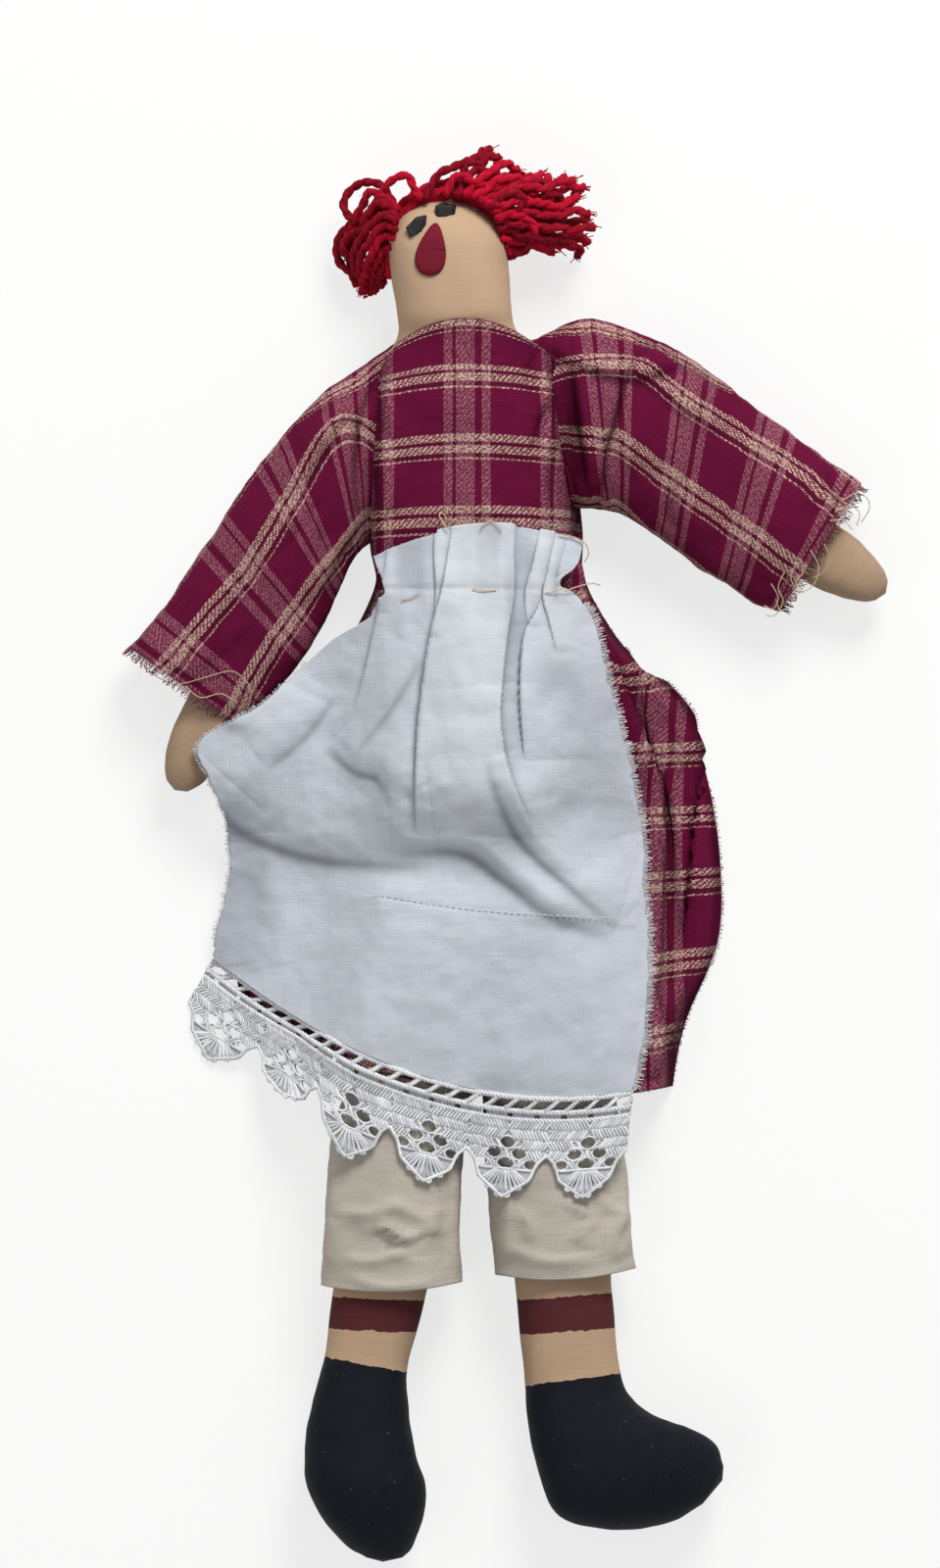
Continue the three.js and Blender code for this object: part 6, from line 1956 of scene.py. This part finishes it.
def make_stage(colours, sizes):
    scene = bpy.context.scene
    scene.view_settings.view_transform = "Standard"
    corners = [(x * FLOOR_HALF, y * FLOOR_HALF, 0) for x, y in ((-1, -1), (1, -1), (1, 1), (-1, 1))]
    mesh = bpy.data.meshes.new("floor")
    mesh.from_pydata(corners, [], [(0, 1, 2, 3)])
    mesh.materials.append(floor_material(colours))
    floor = bpy.data.objects.new("floor", mesh)
    scene.collection.objects.link(floor)

    world = bpy.data.worlds.new("soft room")
    scene.world = world
    world.use_nodes = True
    nodes = Nodes(world.node_tree)
    back = world.node_tree.nodes["Background"]
    nodes.feed(back.inputs["Color"], (1.0, 1.0, 1.0))
    nodes.feed(back.inputs["Strength"], nodes.remap(nodes.seen_directly(), 0.0, 1.0, 0.3, 1.0))

    for name, place, width, power in LAMPS:
        lamp = bpy.data.lights.new(name, "AREA")
        lamp.shape, lamp.size, lamp.energy = "DISK", width, power
        lamp.color = (1.0, 0.99, 0.97)
        holder = bpy.data.objects.new(name, lamp)
        holder.location = place
        holder.rotation_euler = (-Vector(place)).to_track_quat("-Z", "Y").to_euler()
        scene.collection.objects.link(holder)

    lens = bpy.data.cameras.new("camera")
    height = sizes.camera_height
    lens.sensor_width = FILM_WIDTH
    lens.lens = FILM_WIDTH * height / PICTURE_HEIGHT
    lens.clip_end = 40.0
    camera = bpy.data.objects.new("camera", lens)
    camera.location = (*PICTURE_MIDDLE, height)
    scene.collection.objects.link(camera)
    scene.camera = camera


def make_clothes(colours, sizes):
    crossing = make_dress(colours, sizes)
    make_sleeves(colours, sizes)
    grid, apron_pieces = make_apron(colours, sizes)
    make_lace(colours, sizes, grid)
    for piece in crossing + apron_pieces:
        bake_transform(piece)
    for side in SIDES:
        cross_shoulder(bpy.data.objects[f"sleeve_cloth_{side}"])


class DollOperator:
    """What the operators of the doll share."""
    bl_options = {"REGISTER", "UNDO"}

    def built(self, context, make):
        make(context.scene.doll_colours, context.scene.doll_sizes)
        return {"FINISHED"}


class DOLL_OT_stage(DollOperator, bpy.types.Operator):
    """Floor, lamps and camera"""
    bl_idname = "doll.stage"
    bl_label = "Stage"

    def execute(self, context):
        return self.built(context, make_stage)


class DOLL_OT_body(DollOperator, bpy.types.Operator):
    """Head and torso of stuffed muslin, with the flat leg tops"""
    bl_idname = "doll.body"
    bl_label = "Head and torso"

    def execute(self, context):
        build_weave_group()
        build_age_group()
        return self.built(context, make_body)


class DOLL_OT_arms(DollOperator, bpy.types.Operator):
    """Stuffed arms"""
    bl_idname = "doll.arms"
    bl_label = "Arms"

    def execute(self, context):
        return self.built(context, make_arms)


class DOLL_OT_legs(DollOperator, bpy.types.Operator):
    """Stuffed legs with painted bands and boots"""
    bl_idname = "doll.legs"
    bl_label = "Legs"

    def execute(self, context):
        return self.built(context, make_legs)


class DOLL_OT_face(DollOperator, bpy.types.Operator):
    """Bead eyes and nose patch"""
    bl_idname = "doll.face"
    bl_label = "Face"

    def execute(self, context):
        return self.built(context, make_face)


class DOLL_OT_hair(DollOperator, bpy.types.Operator):
    """Bunches and loops of plied yarn"""
    bl_idname = "doll.hair"
    bl_label = "Yarn hair"

    def execute(self, context):
        return self.built(context, make_hair)


class DOLL_OT_bloomers(DollOperator, bpy.types.Operator):
    """Bloomers of unbleached muslin"""
    bl_idname = "doll.bloomers"
    bl_label = "Bloomers"

    def execute(self, context):
        return self.built(context, make_bloomers)


class DOLL_OT_clothes(DollOperator, bpy.types.Operator):
    """Plaid dress with its sleeves, gathered apron and crochet lace"""
    bl_idname = "doll.clothes"
    bl_label = "Dress, apron and lace"

    def execute(self, context):
        return self.built(context, make_clothes)


OPERATORS = [
    DOLL_OT_stage, DOLL_OT_body, DOLL_OT_arms, DOLL_OT_legs, DOLL_OT_face, DOLL_OT_hair, DOLL_OT_bloomers,
    DOLL_OT_clothes,
]


class DOLL_PT_panel(bpy.types.Panel):
    """Lists the pieces of the doll and their sizes and colours"""
    bl_label = "Rag doll"
    bl_idname = "DOLL_PT_panel"
    bl_space_type = "VIEW_3D"
    bl_region_type = "UI"
    bl_category = "Rag doll"

    def draw(self, context):
        for operator in OPERATORS:
            self.layout.operator(operator.bl_idname)
        for group in (context.scene.doll_colours, context.scene.doll_sizes):
            for name in group.__annotations__:
                self.layout.prop(group, name)


def register():
    for made in (DollColours, DollSizes, *OPERATORS, DOLL_PT_panel):
        bpy.utils.register_class(made)
    bpy.types.Scene.doll_colours = bpy.props.PointerProperty(type=DollColours)
    bpy.types.Scene.doll_sizes = bpy.props.PointerProperty(type=DollSizes)


def unregister():
    del bpy.types.Scene.doll_sizes
    del bpy.types.Scene.doll_colours
    for made in (DOLL_PT_panel, *reversed(OPERATORS), DollSizes, DollColours):
        bpy.utils.unregister_class(made)


def main():
    register()
    for operator in OPERATORS:
        group, name = operator.bl_idname.split(".")
        getattr(getattr(bpy.ops, group), name)()


if __name__ == "__main__":
    main()
